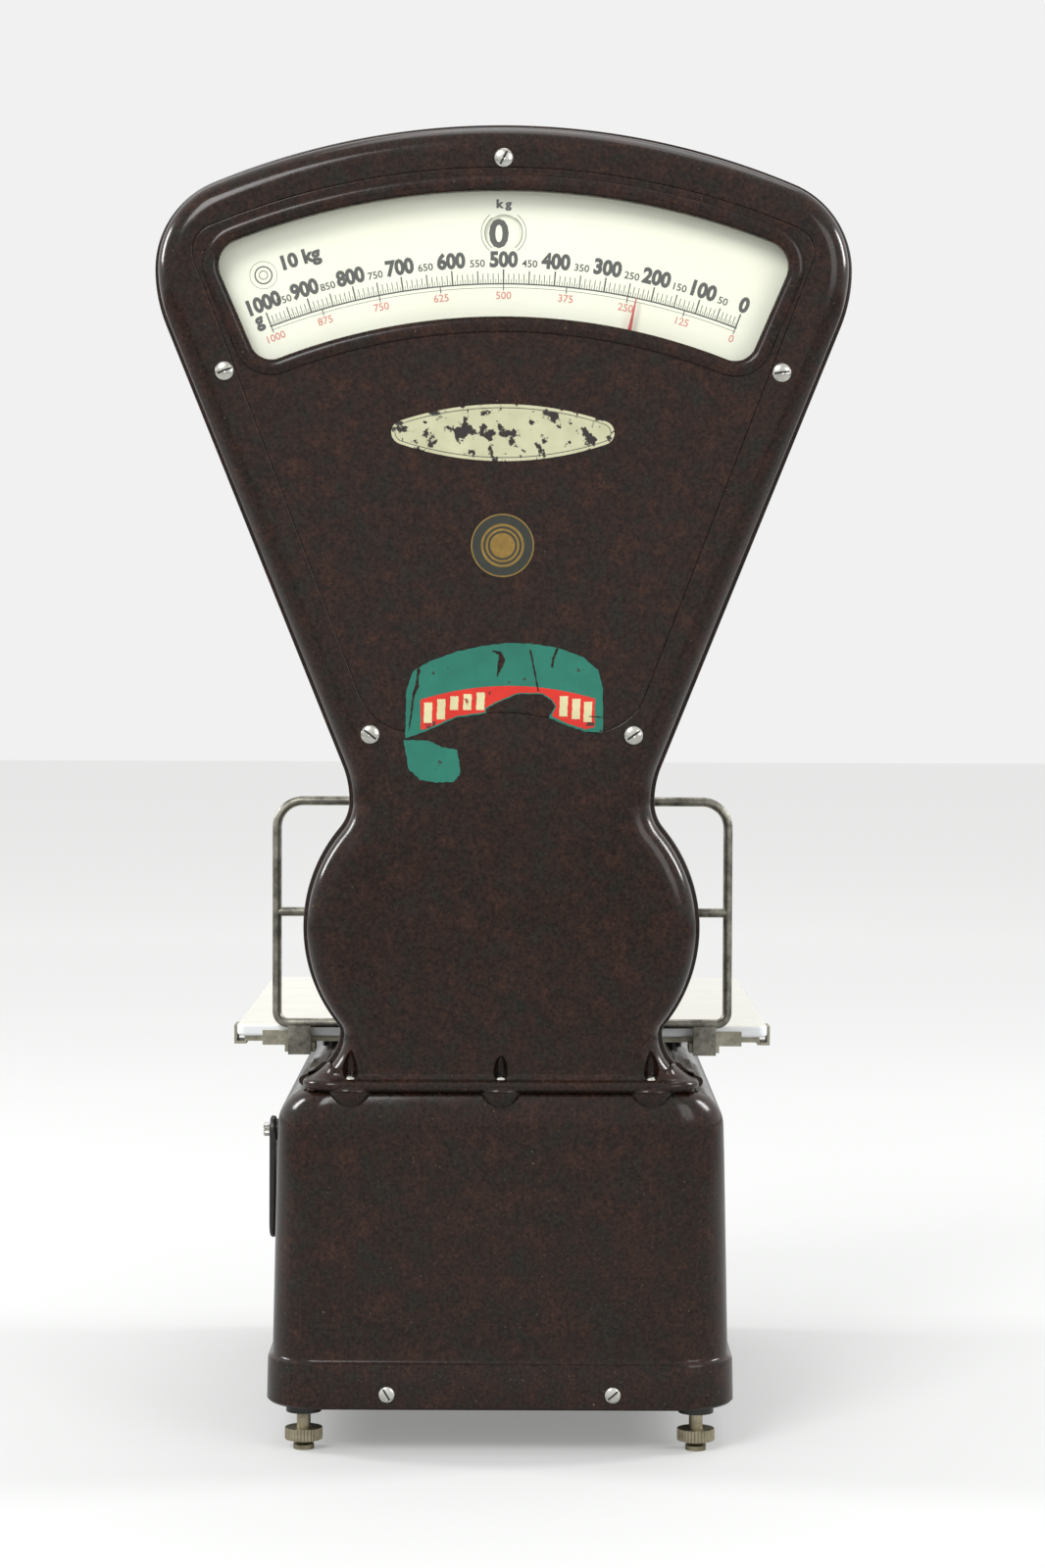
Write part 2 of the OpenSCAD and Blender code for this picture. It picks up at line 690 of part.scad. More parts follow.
// Head covers
neck_screw_xs = [-neck_screw_x, 0, neck_screw_x];
screw_boss_r = 5;
pocket_r = neck_head_r + 1;
pocket_h = 7;
floor_hx = flange_hw - flange_out - wall - 4;
edge_steps = [0, 0.1, 0.2, wall / edge_r, (panel_t + ledge_t) / edge_r, 1];
module cover(d, depth) {
  y1 = face_y + depth;
  ledge_y = face_y + panel_t;
  flange_z = base_top + flange_t;
  difference() {
    union() {
      for (i = [0:len(edge_steps) - 2]) {
        t0 = edge_steps[i] * edge_r;
        t1 = edge_steps[i + 1] * edge_r;
        inset = d + draw_in((t0 + t1) / 2);
        slice(inset, face_y + t0, face_y + t1,
          t1 <= wall ? panel_outline(-0.15) : outline(inset + wall, base_top - 1));
      }
      slice(d, face_y + edge_r, y1, outline(d + wall, base_top - 1));
      translate([0, ledge_y + ledge_t, 0]) rotate([90, 0, 0]) linear_extrude(ledge_t) difference() {
        polygon(panel_outline(-4));
        polygon(panel_outline(ledge_w));
      }
      translate([0, 0, base_top]) linear_extrude(flange_t) difference() {
        polygon(plan(flange_hw - d, face_y - flange_out, back_y + flange_out, flange_r));
        translate([-head_hw, y1]) square([2 * head_hw, head_d + 2 * flange_out]);
        translate([-floor_hx, face_y + wall + 7]) square([2 * floor_hx, head_d]);
      }
      for (x = neck_screw_xs) intersection() {
        rod_z(x, neck_screw_y, base_top, flange_z + pocket_h + pocket_r + 1, neck_boss_r + 1);
        box(-head_hw, head_hw, face_y + wall / 2, y1, base_top, shaft_z);
      }
      for (p = screw_places) rod_y(p[0], base_top + p[1], ledge_y + 0.5, y1, screw_boss_r);
    }
    for (x = neck_screw_xs) {
      rod_z(x, neck_screw_y, base_top - 1, flange_z + 1, neck_shank_r + 0.5);
      rod_z(x, neck_screw_y, flange_z, flange_z + pocket_h, pocket_r);
      translate([x, neck_screw_y, flange_z + pocket_h]) sphere(r = pocket_r);
    }
    for (p = screw_places) rod_y(p[0], base_top + p[1], face_y - 1, y1 + 1, screw_r + fit);
  }
}
module front_cover() {
  color("#2e2524") cover(rim_out / 2, front_cover_d);
}
module rear_cover() {
  color("#2c2423") rear_side() cover(-rim_out / 2, head_d - front_cover_d);
}
module panel() {
  difference() {
    union() {
      sheet(panel_outline(0), face_y, face_y + panel_t);
      sheet(window_outline(-bead_w), face_y - bead_t, face_y + 1);
    }
    sheet(window_outline(0), face_y - bead_t - 1, face_y + panel_t + 1);
    for (p = screw_places) rod_y(p[0], base_top + p[1], face_y - 1, face_y + panel_t + 1, screw_r + fit);
  }
}
module front_panel() { color("#332927") panel(); }
module rear_panel() { color("#332927") rear_side() panel(); }
module glass() { sheet(window_outline(-glass_lap), glass_y, glass_y + glass_t); }
module front_glass() { color("#cfe0dd", 0.35) glass(); }
module rear_glass() { color("#cfe0dd", 0.35) rear_side() glass(); }
module clip_set() {
  for (r = [window_ro, window_ri], a = [-12, 12]) {
    s = r == window_ro ? 1 : -1;
    translate([0, 0, shaft_z]) rotate([0, a, 0]) translate([0, 0, r + s * glass_lap]) {
      box(-4, 4, glass_y, glass_y + glass_t + 0.8, s > 0 ? 0.2 : -1.5, s > 0 ? 1.5 : -0.2);
      box(-4, 4, glass_y + glass_t, glass_y + glass_t + 0.8, s > 0 ? -2.5 : -0.5, s > 0 ? 0.5 : 2.5);
    }
  }
}
module glass_clips() {
  color("#8f8d84") {
    clip_set();
    rear_side() clip_set();
  }
}
// Two rivets hold each dial to the arms of the frame
rivet_r = 1.5;
rivet_a = 17.2;
rivet_x = (dial_ri + 6) * sin(rivet_a);
rivet_z = shaft_z + (dial_ri + 6) * cos(rivet_a);
dial_wx = head_h * tan(dial_a);
module dial() {
  difference() {
    intersection() {
      translate([0, 0, shaft_z]) difference() {
        rod_y(0, 0, dial_y, dial_y + dial_t, dial_ro);
        rod_y(0, 0, dial_y - 1, dial_y + dial_t + 1, dial_ri);
      }
      sheet([[0, shaft_z], [-dial_wx, shaft_z + head_h], [dial_wx, shaft_z + head_h]],
        dial_y - 1, dial_y + dial_t + 1);
      sheet(outline(wall + 4, base_top), dial_y - 1, dial_y + dial_t + 1);
    }
    rod_y(0, shaft_z + kg_h, dial_y - 1, dial_y + dial_t + 1, kg_r);
    for (p = screw_places) rod_y(p[0], base_top + p[1], dial_y - 1, dial_y + dial_t + 1, screw_boss_r + 1);
    for (x = [-rivet_x, rivet_x]) rod_y(x, rivet_z, dial_y - 1, dial_y + dial_t + 1, rivet_r + 2 * fit);
  }
}
module front_dial() { color("#f2f5e0") dial(); }
module rear_dial() { color("#f2f5e0") rear_side() dial(); }

// Badges and screws
module name_plate() {
  k = name_w / 2 - name_end_r;
  bow = (k * k + name_h * name_h / 4 - name_end_r * name_end_r) / (name_h - 2 * name_end_r);
  turn = atan2(k, bow - name_h / 2);
  z = base_top + name_z;
  color("#d9cfa8") sheet(concat(
    arc(0, z + name_h / 2 - bow, bow, 90 + turn, 90 - turn, 24),
    arc(k, z, name_end_r, 90 - turn, turn - 90, 10),
    arc(0, z - name_h / 2 + bow, bow, turn - 90, -90 - turn, 24),
    arc(-k, z, name_end_r, 270 - turn, 90 + turn, 10)), face_y - label_t, face_y);
}
module round_badge() {
  color("#a08434") rod_y(0, base_top + badge_z, face_y - label_t, face_y, badge_r);
}
module paper_sticker() {
  foot = shaft_z + panel_foot_h;
  color("#1f7f72") intersection() {
    sheet(panel_outline(1.5), face_y - label_t / 2, face_y);
    rod_y(0, base_top + paper_z - paper_r, face_y - label_t / 2, face_y, paper_r);
    box(-paper_hw, paper_hw, face_y - label_t, face_y + 1, foot, base_top + paper_z + 1);
  }
}
module cover_screw_set(l) {
  for (p = screw_places) translate([p[0], face_y, base_top + p[1]]) rotate([90, 0, 0]) {
    rotate([0, 0, p[0] * 3]) slotted_dome(screw_head_r, screw_dome);
    translate([0, 0, -l]) cylinder(h = l, r = screw_r);
  }
}
module cover_screws_front() { color("#c9c8c0") cover_screw_set(front_cover_d + 12); }
module cover_screws_rear() { color("#c9c8c0") rear_side() cover_screw_set(24); }
module neck_screws() {
  color("#b9b7ae") for (x = [-neck_screw_x, 0, neck_screw_x], y = [neck_screw_y, 2 * mid_y - neck_screw_y])
    translate([x, y, base_top + flange_t]) {
      slotted_dome(neck_head_r, neck_dome);
      translate([0, 0, -flange_t - 12]) cylinder(h = flange_t + 12, r = neck_shank_r);
    }
}

// Head frame with the bearings of the pendulum and of the number shafts
frame_foot_t = 6;
arm_top = disc_z + 22;
// Sizes of the upright shaft's upper bracket and of the bar across each plate
bracket_hw = 7;
bracket_drop = 25;
cross_hw = 108;
spacer_x = cross_hw - 12;
spacer_r = 5;
module frame_plate() {
  lower = base_top + frame_foot_t - 1;
  difference() {
    union() {
      sheet([[-column_x - 4, lower], [-22, shaft_z + 26], [22, shaft_z + 26], [column_x + 4, lower]],
        plate_y0, plate_y1);
      both_sides() sheet([[-2, shaft_z + 14], [22, shaft_z + 10], [cross_hw + 10, arm_top],
        [cross_hw - 10, arm_top]], plate_y0, plate_y1);
      box(-cross_hw, cross_hw, plate_y1 - cross_t, plate_y1, disc_z - 9, disc_z + 9);
      for (x = [0, -upright_x]) rod_y(x, disc_z, plate_y1 - cross_t, plate_y1 + 2, 8);
      for (x = [-rivet_x, rivet_x]) rod_y(x, rivet_z, dial_y, plate_y0 + 1, rivet_r);
    }
    rod_y(0, shaft_z, plate_y0 - 1, plate_y1 + 1, bearing_r);
    for (x = [0, -upright_x]) rod_y(x, disc_z, plate_y0 - 1, plate_y1 + 5, drive_r + fit);
    sheet([[-34, lower + 16], [-16, shaft_z - 22], [16, shaft_z - 22], [34, lower + 16]],
      plate_y0 - 1, plate_y1 + 1);
  }
}
module head_frame() {
  color("#56544e") difference() {
    union() {
      difference() {
        box(-column_x - 7, column_x + 7, plate_y0, rear_plate_y1, base_top, base_top + frame_foot_t);
        box(-opening_hx, opening_hx, plate_y1, rear_plate_y0, base_top - 1, base_top + frame_foot_t + 1);
      }
      frame_plate();
      rear_side() frame_plate();
      for (x = [-spacer_x, spacer_x]) rod_y(x, disc_z, plate_y1 - 1, rear_plate_y0 + 1, spacer_r);
      box(-upright_x - bracket_hw, -upright_x + bracket_hw, rear_plate_y0 - 1, rear_plate_y0 + cross_t,
        disc_z - bracket_drop, disc_z - 8);
      box(-upright_x - bracket_hw, -upright_x + bracket_hw, selector_y - 6, rear_plate_y0 + cross_t,
        disc_z - bracket_drop, disc_z - bracket_drop + 5);
    }
    rod_z(-upright_x, selector_y, disc_z - 26, disc_z - 19, drive_r + fit);
    for (x = [-column_x, column_x], y = column_ys)
      rod_z(x, y, base_top - 1, base_top + frame_foot_t + 1, column_stud_r + fit);
  }
}
module bearing_ring() {
  difference() {
    rod_y(0, shaft_z, plate_y0 + 0.5, plate_y0 + 0.5 + bearing_t, bearing_r - 0.01);
    rod_y(0, shaft_z, plate_y0 - 1, plate_y0 + bearing_t + 1, shaft_r + 0.03);
  }
}
module shaft_bearings() {
  color("#b4b3ad") {
    bearing_ring();
    rear_side() bearing_ring();
  }
}

// Goods plate, its frame, rail and posts
module pan_plate() {
  color("#eef1f0") slab(plan(plate_w / 2, plate_y_front, plate_y_rear, 5), plate_z0, plate_z1);
}
bar_in = 4;
rail_screw_z = spider_z0 - 2.4;
rail_shank_r = 1.5;
// Clip bent up over the plate's front edge (s = -1) or rear edge (s = 1)
module end_clip(edge_y, s) {
  cx = plate_w / 2 - clip_w - 6;
  out_y = edge_y + s * clip_t;
  in_y = edge_y - s * 20;
  box(cx - clip_w / 2, cx + clip_w / 2, min(out_y, in_y), max(out_y, in_y), spider_z0 - clip_t, spider_z0);
  box(cx - clip_w / 2, cx + clip_w / 2, min(out_y, edge_y), max(out_y, edge_y),
    spider_z0 - clip_t, plate_z0 + plate_t / 2);
}
// Clip bent up beside the plate, near its front corner
module side_clip() {
  y0 = plate_y_front + 4;
  box(plate_w / 2, plate_w / 2 + clip_t, y0, y0 + clip_w, spider_z0 - clip_t, plate_z1 - 1);
  box(plate_w / 2 - bar_in - 1, plate_w / 2 + clip_t, y0, y0 + clip_w, spider_z0 - clip_t, spider_z0);
}
module pan_spider() {
  x1 = plate_w / 2 - bar_in;
  y0 = plate_y_front + bar_in;
  y1 = plate_y_rear - bar_in;
  color("#8d8a80") difference() {
    union() {
      difference() {
        box(-x1, x1, y0, y1, spider_z0, plate_z0);
        box(-x1 + spider_w, x1 - spider_w, y0 + spider_w, y1 - spider_w, spider_z0 - 1, plate_z0 + 1);
      }
      for (y = [post_front_y, post_rear_y])
        box(-x1 + 2, x1 - 2, y - spider_w / 2, y + spider_w / 2, spider_z0, plate_z0);
      box(-spider_w / 2, spider_w / 2, y0 + 2, y1 - 2, spider_z0, plate_z0);
      both_sides() {
        end_clip(plate_y_front, -1);
        end_clip(plate_y_rear, 1);
        side_clip();
      }
      for (x = [-rail_foot_x, rail_foot_x])
        box(x - 8, x + 8, rail_y + rail_foot_t / 2, y0 + spider_w, spider_z0 - 5, spider_z0);
    }
    for (x = [-rail_foot_x, rail_foot_x])
      rod_y(x, rail_screw_z, rail_y, y0 + spider_w + 1, rail_shank_r + fit);
  }
}
module rail_corner(x, z, r, a) {
  translate([x, rail_y, z]) rotate([90, 0, 0]) rotate([0, 0, a])
    rotate_extrude(angle = 90) translate([r, 0]) circle(r = rail_r);
}
module goods_rail() {
  hx = rail_hw - rail_r;
  zt = plate_z1 + rail_h;
  zm = plate_z1 + rail_mid_h;
  zb = plate_z1 + rail_low_h;
  color("#8d8c82") difference() {
    union() {
      rod_x(-hx + rail_rt, hx - rail_rt, rail_y, zt, rail_r);
      rod_x(-hx, hx, rail_y, zm, rail_r * 0.98);
      rod_x(-hx + rail_rb, hx - rail_rb, rail_y, zb, rail_r);
      for (x = [-hx, hx]) rod_z(x, rail_y, zb + rail_rb, zt - rail_rt, rail_r);
      rail_corner(hx - rail_rt, zt - rail_rt, rail_rt, 0);
      rail_corner(-hx + rail_rt, zt - rail_rt, rail_rt, 90);
      rail_corner(-hx + rail_rb, zb + rail_rb, rail_rb, 180);
      rail_corner(hx - rail_rb, zb + rail_rb, rail_rb, 270);
      for (x = [-rail_foot_x, rail_foot_x])
        box(x - rail_foot_w / 2, x + rail_foot_w / 2, rail_y - rail_foot_t / 2, rail_y + rail_foot_t / 2,
          spider_z0 - 6, zb);
    }
    for (x = [-rail_foot_x, rail_foot_x]) rod_y(x, rail_screw_z, rail_y - 5, rail_y + 5, rail_shank_r + fit);
  }
}
module rail_screws() {
  color("#8b8268") for (x = [-rail_foot_x, rail_foot_x])
    rod_y(x, rail_screw_z, rail_y - rail_foot_t / 2, rail_y - rail_foot_t / 2 + 10, rail_shank_r);
}
module pan_posts() {
  color("#35322f") for (x = [-post_x, post_x], y = [post_front_y, post_rear_y]) {
    rod_z(x, y, carrier_z1, spider_z0, post_r);
    rod_z(x, y, spider_z0 - 4, spider_z0, post_r + 2);
  }
}
module post_sleeves() {
  color("#1d1b1a") for (x = [-post_x, post_x], y = [post_front_y, post_rear_y]) difference() {
    rod_z(x, y, roof_z - 5, base_top + 1.5, post_r + 4.95);
    rod_z(x, y, roof_z - 6, base_top + 3, post_r + 1.5);
  }
}
module carrier_bridge() {
  color("#4a4844") {
    for (y = [post_front_y, load_y, post_rear_y])
      box(-post_x - 7, post_x + 7, y - carrier_w / 2, y + carrier_w / 2, carrier_z0, carrier_z1);
    for (x = [-tie_x, tie_x]) box(x - 5, x + 5, post_front_y, post_rear_y, carrier_z0, carrier_z1);
    both_sides() {
      box(knife_x0, knife_x1 - 1, load_y - 6, load_y + 6, edge_z + 10, carrier_z0 + 1);
      box(link_w / 2 + 1, link_w / 2 + 6, load_y - 7, load_y + 7, link_z - 8, carrier_z0 + 1);
    }
    rod_x(-link_w / 2 - 2, link_w / 2 + 2, load_y, link_z, link_pin_r);
  }
}
block_hy = 7;
block_lip = 3.4;
// A block with a wide V cut in it, apex at z = 0 and opening upwards, from x0 to x1 along X
module v_block(x0, x1, z0, z1) {
  difference() {
    box(x0, x1, -block_hy, block_hy, z0, z1);
    translate([x0 - 1, 0, 0]) rotate([90, 0, 90]) linear_extrude(x1 - x0 + 2)
      polygon([[0, 0], [2 * block_hy, 2 * block_hy * tan(30)], [-2 * block_hy, 2 * block_hy * tan(30)]]);
  }
}
module load_bearings() {
  color("#a9a79d") both_sides() translate([0, load_y, edge_z + gap]) mirror([0, 0, 1])
    v_block(knife_x0, knife_x1 - 1, gap - 10, block_lip);
}

// Check link, lever and its stands
beam_y = pull_y + yoke_t / 2 + 4;
beam_hw = 24;
tip_hw = 6;
shank_r = 2;
module check_link() {
  color("#6f6c64") difference() {
    union() {
      rod_x(-link_w / 2, link_w / 2, fulcrum_y, link_z, 8);
      rod_x(-link_w / 2, link_w / 2, load_y, link_z, 8);
      box(-link_w / 2, link_w / 2, load_y, fulcrum_y, link_z - 4, link_z + 4);
    }
    rod_x(-link_w, link_w, fulcrum_y, link_z, link_pin_r + fit);
    rod_x(-link_w, link_w, load_y, link_z, link_pin_r + gap + 0.1);
  }
}
module link_pins() {
  color("#b4b3ad") rod_x(-link_w / 2 - 7, link_w / 2 + 7, fulcrum_y, link_z, link_pin_r);
}
module main_lever() {
  color("#5b5851") difference() {
    union() {
      for (x = [-lever_x, lever_x])
        box(x - lever_w / 2, x + lever_w / 2, -10, fulcrum_y + 14, lever_z0, lever_z1);
      box(-lever_x, lever_x, fulcrum_y + 8, fulcrum_y + 14, lever_z0, lever_z1);
      box(-lever_x, lever_x, -10, 2, lever_z0, lever_z1);
      slab([[-beam_hw, 0], [-pull_x - tip_hw, beam_y], [-pull_x + tip_hw, beam_y], [beam_hw, 0]],
        lever_z0, lever_z1);
      box(-pull_x - tongue_w / 2, -pull_x + tongue_w / 2, pull_y - yoke_t / 2 - 3, beam_y + 1,
        edge_z, lever_z1);
    }
    slab([[-14, -8], [-24, -80], [-18, -80], [14, -8]], lever_z0 - 1, lever_z1 + 1);
    for (y = [fulcrum_y, load_y]) rod_x(-lever_x - lever_w, lever_x + lever_w, y, edge_z, shank_r + 0.01);
  }
}
// A knife along X: edge at z = 0, its back at z = h
module knife(x0, x1, h) {
  translate([x0, 0, 0]) rotate([90, 0, 90]) linear_extrude(x1 - x0)
    polygon([[0, 0], [knife_w / 2, h], [-knife_w / 2, h]]);
}
module lever_knives() {
  color("#c4c3bb") {
    for (x = [0, 1]) mirror([x, 0, 0]) {
      translate([0, fulcrum_y, edge_z]) knife(knife_x0, knife_x1, knife_h);
      translate([0, load_y, edge_z]) mirror([0, 0, 1]) knife(knife_x0, knife_x1, knife_h);
      for (y = [fulcrum_y, load_y]) rod_x(knife_x1 - 1, knife_x1 + lever_w + 2, y, edge_z, shank_r);
    }
    translate([-pull_x, pull_y, lever_z0 + 1]) knife(-tongue_w / 2, tongue_w / 2, knife_h - 1);
  }
}
module fulcrum_stands() {
  color("#77736a") both_sides() {
    translate([0, fulcrum_y, edge_z - gap])
      v_block(knife_x0, knife_x1 - 1, frame_z1 - edge_z + gap, block_lip);
    box(knife_x0 - 4, knife_x1 + 3, fulcrum_y - 10, fulcrum_y + 10, frame_z1, frame_z1 + 6);
    difference() {
      box(link_w / 2 + 1, link_w / 2 + 6, fulcrum_y - 8, fulcrum_y + 8, frame_z1, link_z + 8);
      rod_x(0, link_w, fulcrum_y, link_z, link_pin_r + 0.02);
    }
  }
}

// Pull rod, band, pendulum and pointers
band_clamp = shaft_z - 56;
module pull_rod() {
  color("#b0aea4") {
    difference() {
      box(-pull_x - 9, -pull_x + 9, pull_y - yoke_t / 2, pull_y + yoke_t / 2, lever_z0 - 7, lever_z1 + 12);
      box(-pull_x - 6, -pull_x + 6, pull_y - yoke_t, pull_y + yoke_t, lever_z0 + 1 - gap, lever_z1 + 7);
    }
    rod_z(-pull_x, pull_y, lever_z1 + 11, band_clamp, rod_r);
    difference() {
      box(-pull_x - 3, -pull_x + 3, pull_y - 4, pull_y + 4, band_clamp, band_clamp + 12);
      box(-pull_x - band_t / 2 - 0.02, -pull_x + band_t / 2 + 0.02, pull_y - 5, pull_y + 5,
        band_clamp + 4, band_clamp + 13);
    }
  }
}
module pull_band() {
  color("#d5d3ca") box(-pull_x - band_t / 2, -pull_x + band_t / 2, pull_y - band_w / 2, pull_y + band_w / 2,
    band_clamp + 4, shaft_z + band_slack);
}
module pendulum_shaft() {
  color("#c4c3bb") {
    rod_y(0, shaft_z, pointer_y - 1.6, 2 * mid_y - pointer_y + 1.6, shaft_r);
  }
}
module quadrant() {
  y0 = pull_y - quadrant_t / 2;
  color("#a8873c") difference() {
    union() {
      intersection() {
        rod_y(0, shaft_z, y0, y0 + quadrant_t, quadrant_r);
        union() {
          box(-quadrant_r - 1, quadrant_r + 1, y0 - 1, y0 + quadrant_t + 1, shaft_z - 26, shaft_z + 12);
          box(-10, 10, y0 - 1, y0 + quadrant_t + 1, shaft_z - quadrant_r, shaft_z + 20);
        }
      }
      rod_y(0, shaft_z, y0 - 1, bob_y + bob_arm_r + 4, 10);
    }
    rod_y(0, shaft_z, y0 - 2, bob_y + bob_arm_r + 5, shaft_r + 0.01);
    for (a = [-1, 1]) rod_y(a * 24, shaft_z - 6, y0 - 2, y0 + quadrant_t + 2, 8);
  }
}
module pendulum_bob() {
  color("#6d6a62") translate([0, bob_y, shaft_z]) rotate([0, rest_a, 0]) {
    rod_z(0, 0, -bob_l, -9.9, bob_arm_r);
    rod_y(0, -bob_l, -bob_t / 2, bob_t / 2, bob_r);
  }
}
module pointer() {
  hw = pointer_w / 2;
  root_hw = 5;
  arm_hw = 2.6;
  tip_hw = 0.25;
  tail_l = 36;
  arm_l = window_ri - 6;
  difference() {
    union() {
      rod_y(0, 0, 0, pointer_t, 2 * root_hw - 1);
      sheet([[-root_hw, 0], [-arm_hw, arm_l], [-hw, arm_l + 2], [-tip_hw, scale_r],
        [tip_hw, scale_r], [hw, arm_l + 2], [arm_hw, arm_l], [root_hw, 0]], 0, pointer_t);
      sheet([[-root_hw + 1, 0], [root_hw - 1, 0], [arm_hw, -tail_l], [-arm_hw, -tail_l]], 0, pointer_t);
    }
    rod_y(0, 0, -1, pointer_t + 1, shaft_r + 0.01);
  }
}
module front_pointer() {
  color("#a8242a") translate([0, pointer_y - pointer_t / 2, shaft_z]) rotate([0, rest_a, 0]) pointer();
}
module rear_pointer() {
  color("#a8242a") rear_side() translate([0, pointer_y - pointer_t / 2, shaft_z])
    rotate([0, rest_a, 0]) pointer();
}

// Dashpot
dash_x = pull_x * dash_y / beam_y;
dash_hw = beam_hw + (tip_hw - beam_hw) * dash_y / beam_y + 3;
module dashpot_cylinder() {
  z1 = frame_z1 + dash_h;
  color("#7d7b74") difference() {
    rod_z(-dash_x, dash_y, frame_z1, z1, dash_r);
    rod_z(-dash_x, dash_y, frame_z1 + 3, z1 - 3, dash_r - 1.5);
    rod_z(-dash_x, dash_y, z1 - 4, z1 + 1, rod_r + gap);
  }
}
module dashpot_piston() {
  head_z = frame_z1 + dash_h - 22;
  color("#a9a79d") {
    rod_z(-dash_x, dash_y, head_z, head_z + 4, dash_r - 1.5 - gap);
    rod_z(-dash_x, dash_y, head_z, lever_z0 - 4, rod_r);
    difference() {
      box(-dash_x - dash_hw - 3, -dash_x + dash_hw + 3, dash_y - 4, dash_y + 4, lever_z0 - 5, lever_z1 + 5);
      box(-dash_x - dash_hw, -dash_x + dash_hw, dash_y - 5, dash_y + 5, lever_z0 - 1, lever_z1 + 1);
    }
  }
}

// Lifting weights on the other side of the quadrant
module weight_hanger() {
  color("#b0aea4") {
    rod_z(pull_x, pull_y, hanger_z, hanger_z + 3, 12);
    rod_z(pull_x, pull_y, hanger_z, band_clamp, 2);
    difference() {
      box(pull_x - 3, pull_x + 3, pull_y - 4, pull_y + 4, band_clamp, band_clamp + 12);
      box(pull_x - band_t / 2, pull_x + band_t / 2, pull_y - 5, pull_y + 5, band_clamp + 4, band_clamp + 13);
    }
    box(pull_x - band_t / 2, pull_x + band_t / 2, pull_y - band_w / 2, pull_y + band_w / 2,
      band_clamp + 2, shaft_z + hanger_slack);
  }
}
module lifting_comb() {
  color("#6f6c64") difference() {
    union() {
      box(pull_x - 6, pull_x + 6, comb_y - 3, comb_y + 3, rack_z0 - 4, roof_z - 6);
      for (i = [0:weight_n - 1]) {
        z = rack_z0 + i * weight_step;
        for (x = [pull_x - 10, pull_x + 10])
          box(x - 2, x + 2, pull_y - 8, comb_y + 1, z, z + weight_step - weight_t - loose);
        box(pull_x - 12, pull_x + 12, comb_y - 3, comb_y + 1, z, z + weight_step - weight_t - loose);
      }
      rod_z(pull_x, guide_y, rack_z0 - 4, rack_z0 + 14, 6);
      box(pull_x - 5, pull_x + 5, comb_y, guide_y - 4, rack_z0 - 4, rack_z0 + 14);
    }
    rod_z(pull_x, guide_y, rack_z0 - 5, rack_z0 + 15, guide_r + fit);
  }
}
module lift_weights() {
  color("#9a8a4e") for (i = [0:weight_n - 1]) {
    z = rack_z0 + i * weight_step + weight_step - weight_t - loose / 2;
    difference() {
      rod_z(pull_x, pull_y, z, z + weight_t - loose, weight_r);
      rod_z(pull_x, pull_y, z - 1, z + weight_t + 1, weight_bore);
      box(pull_x - 13, pull_x + 13, comb_y - 3 - loose, comb_y + 10, z - 1, z + weight_t + 1);
    }
  }
}

// Kilogram selector: paddle, shafts and number discs
module selector_lever() {
  tip_r = paddle_w / 2;
  x1 = -paddle_x;
  x0 = x1 - paddle_t;
  color("#2b2827") difference() {
    union() {
      rod_x(x0, x1, selector_y, selector_z, 6);
      rod_x(x0, x1, selector_y, selector_z - paddle_l + tip_r, tip_r);
      translate([x0, 0, 0]) rotate([90, 0, 90]) linear_extrude(paddle_t)
        polygon([[selector_y - 5.8, selector_z], [selector_y + 5.8, selector_z],
          [selector_y + tip_r, selector_z - paddle_l + tip_r],
          [selector_y - tip_r, selector_z - paddle_l + tip_r]]);
      rod_x(x1 - 1, -hub_x, selector_y, selector_z, 5.5);
    }
    rod_x(x0 - 1, -hub_x + 1, selector_y, selector_z, drive_r + 0.01);
  }
}
hub_x = base_w / 2 - base_draft / 2 + 0.6;
module selector_screw() {
  color("#7c786c") translate([-paddle_x - paddle_t, selector_y, selector_z]) rotate([0, -90, 0])
  difference() {
    cylinder(h = 4, r = 3.4);
    translate([-4, -0.4, 3]) cube([8, 0.8, 2]);
  }
}
module bevel() { cylinder(h = bevel_r / 2, r1 = bevel_r - 0.3, r2 = bevel_r / 2 - 0.3); }
module selector_shaft() {
  color("#b0aea4") {
    rod_x(-paddle_x - paddle_t, -upright_x - bevel_r / 2, selector_y, selector_z, drive_r);
    translate([-upright_x - bevel_r, selector_y, selector_z]) rotate([0, 90, 0]) bevel();
  }
}
module selector_bracket() {
  x0 = -base_w / 2 + base_r + 4;
  z0 = selector_z - 26;
  color("#5b5851") difference() {
    union() {
      box(x0, x0 + 5, selector_y - 8, selector_y + 8, z0, roof_z - 0.1);
      box(x0, -upright_x + 7, selector_y - 8, selector_y + 8, z0, z0 + 5);
      box(x0, x0 + 14, selector_y - 8, selector_y + 8, roof_z - 4, roof_z - 0.1);
    }
    rod_x(x0 - 1, x0 + 6, selector_y, selector_z, drive_r + fit);
    rod_z(-upright_x, selector_y, z0 - 1, z0 + 6, drive_r + fit);
  }
}
module upright_shaft() {
  color("#b0aea4") {
    rod_z(-upright_x, selector_y, selector_z - 26, disc_z - bevel_r / 2, drive_r);
    translate([-upright_x, selector_y, selector_z + bevel_r]) mirror([0, 0, 1]) bevel();
    translate([-upright_x, selector_y, disc_z - bevel_r]) bevel();
    rod_z(-upright_x, selector_y, selector_z - 21 + loose, selector_z - 18, 5.5);
  }
}
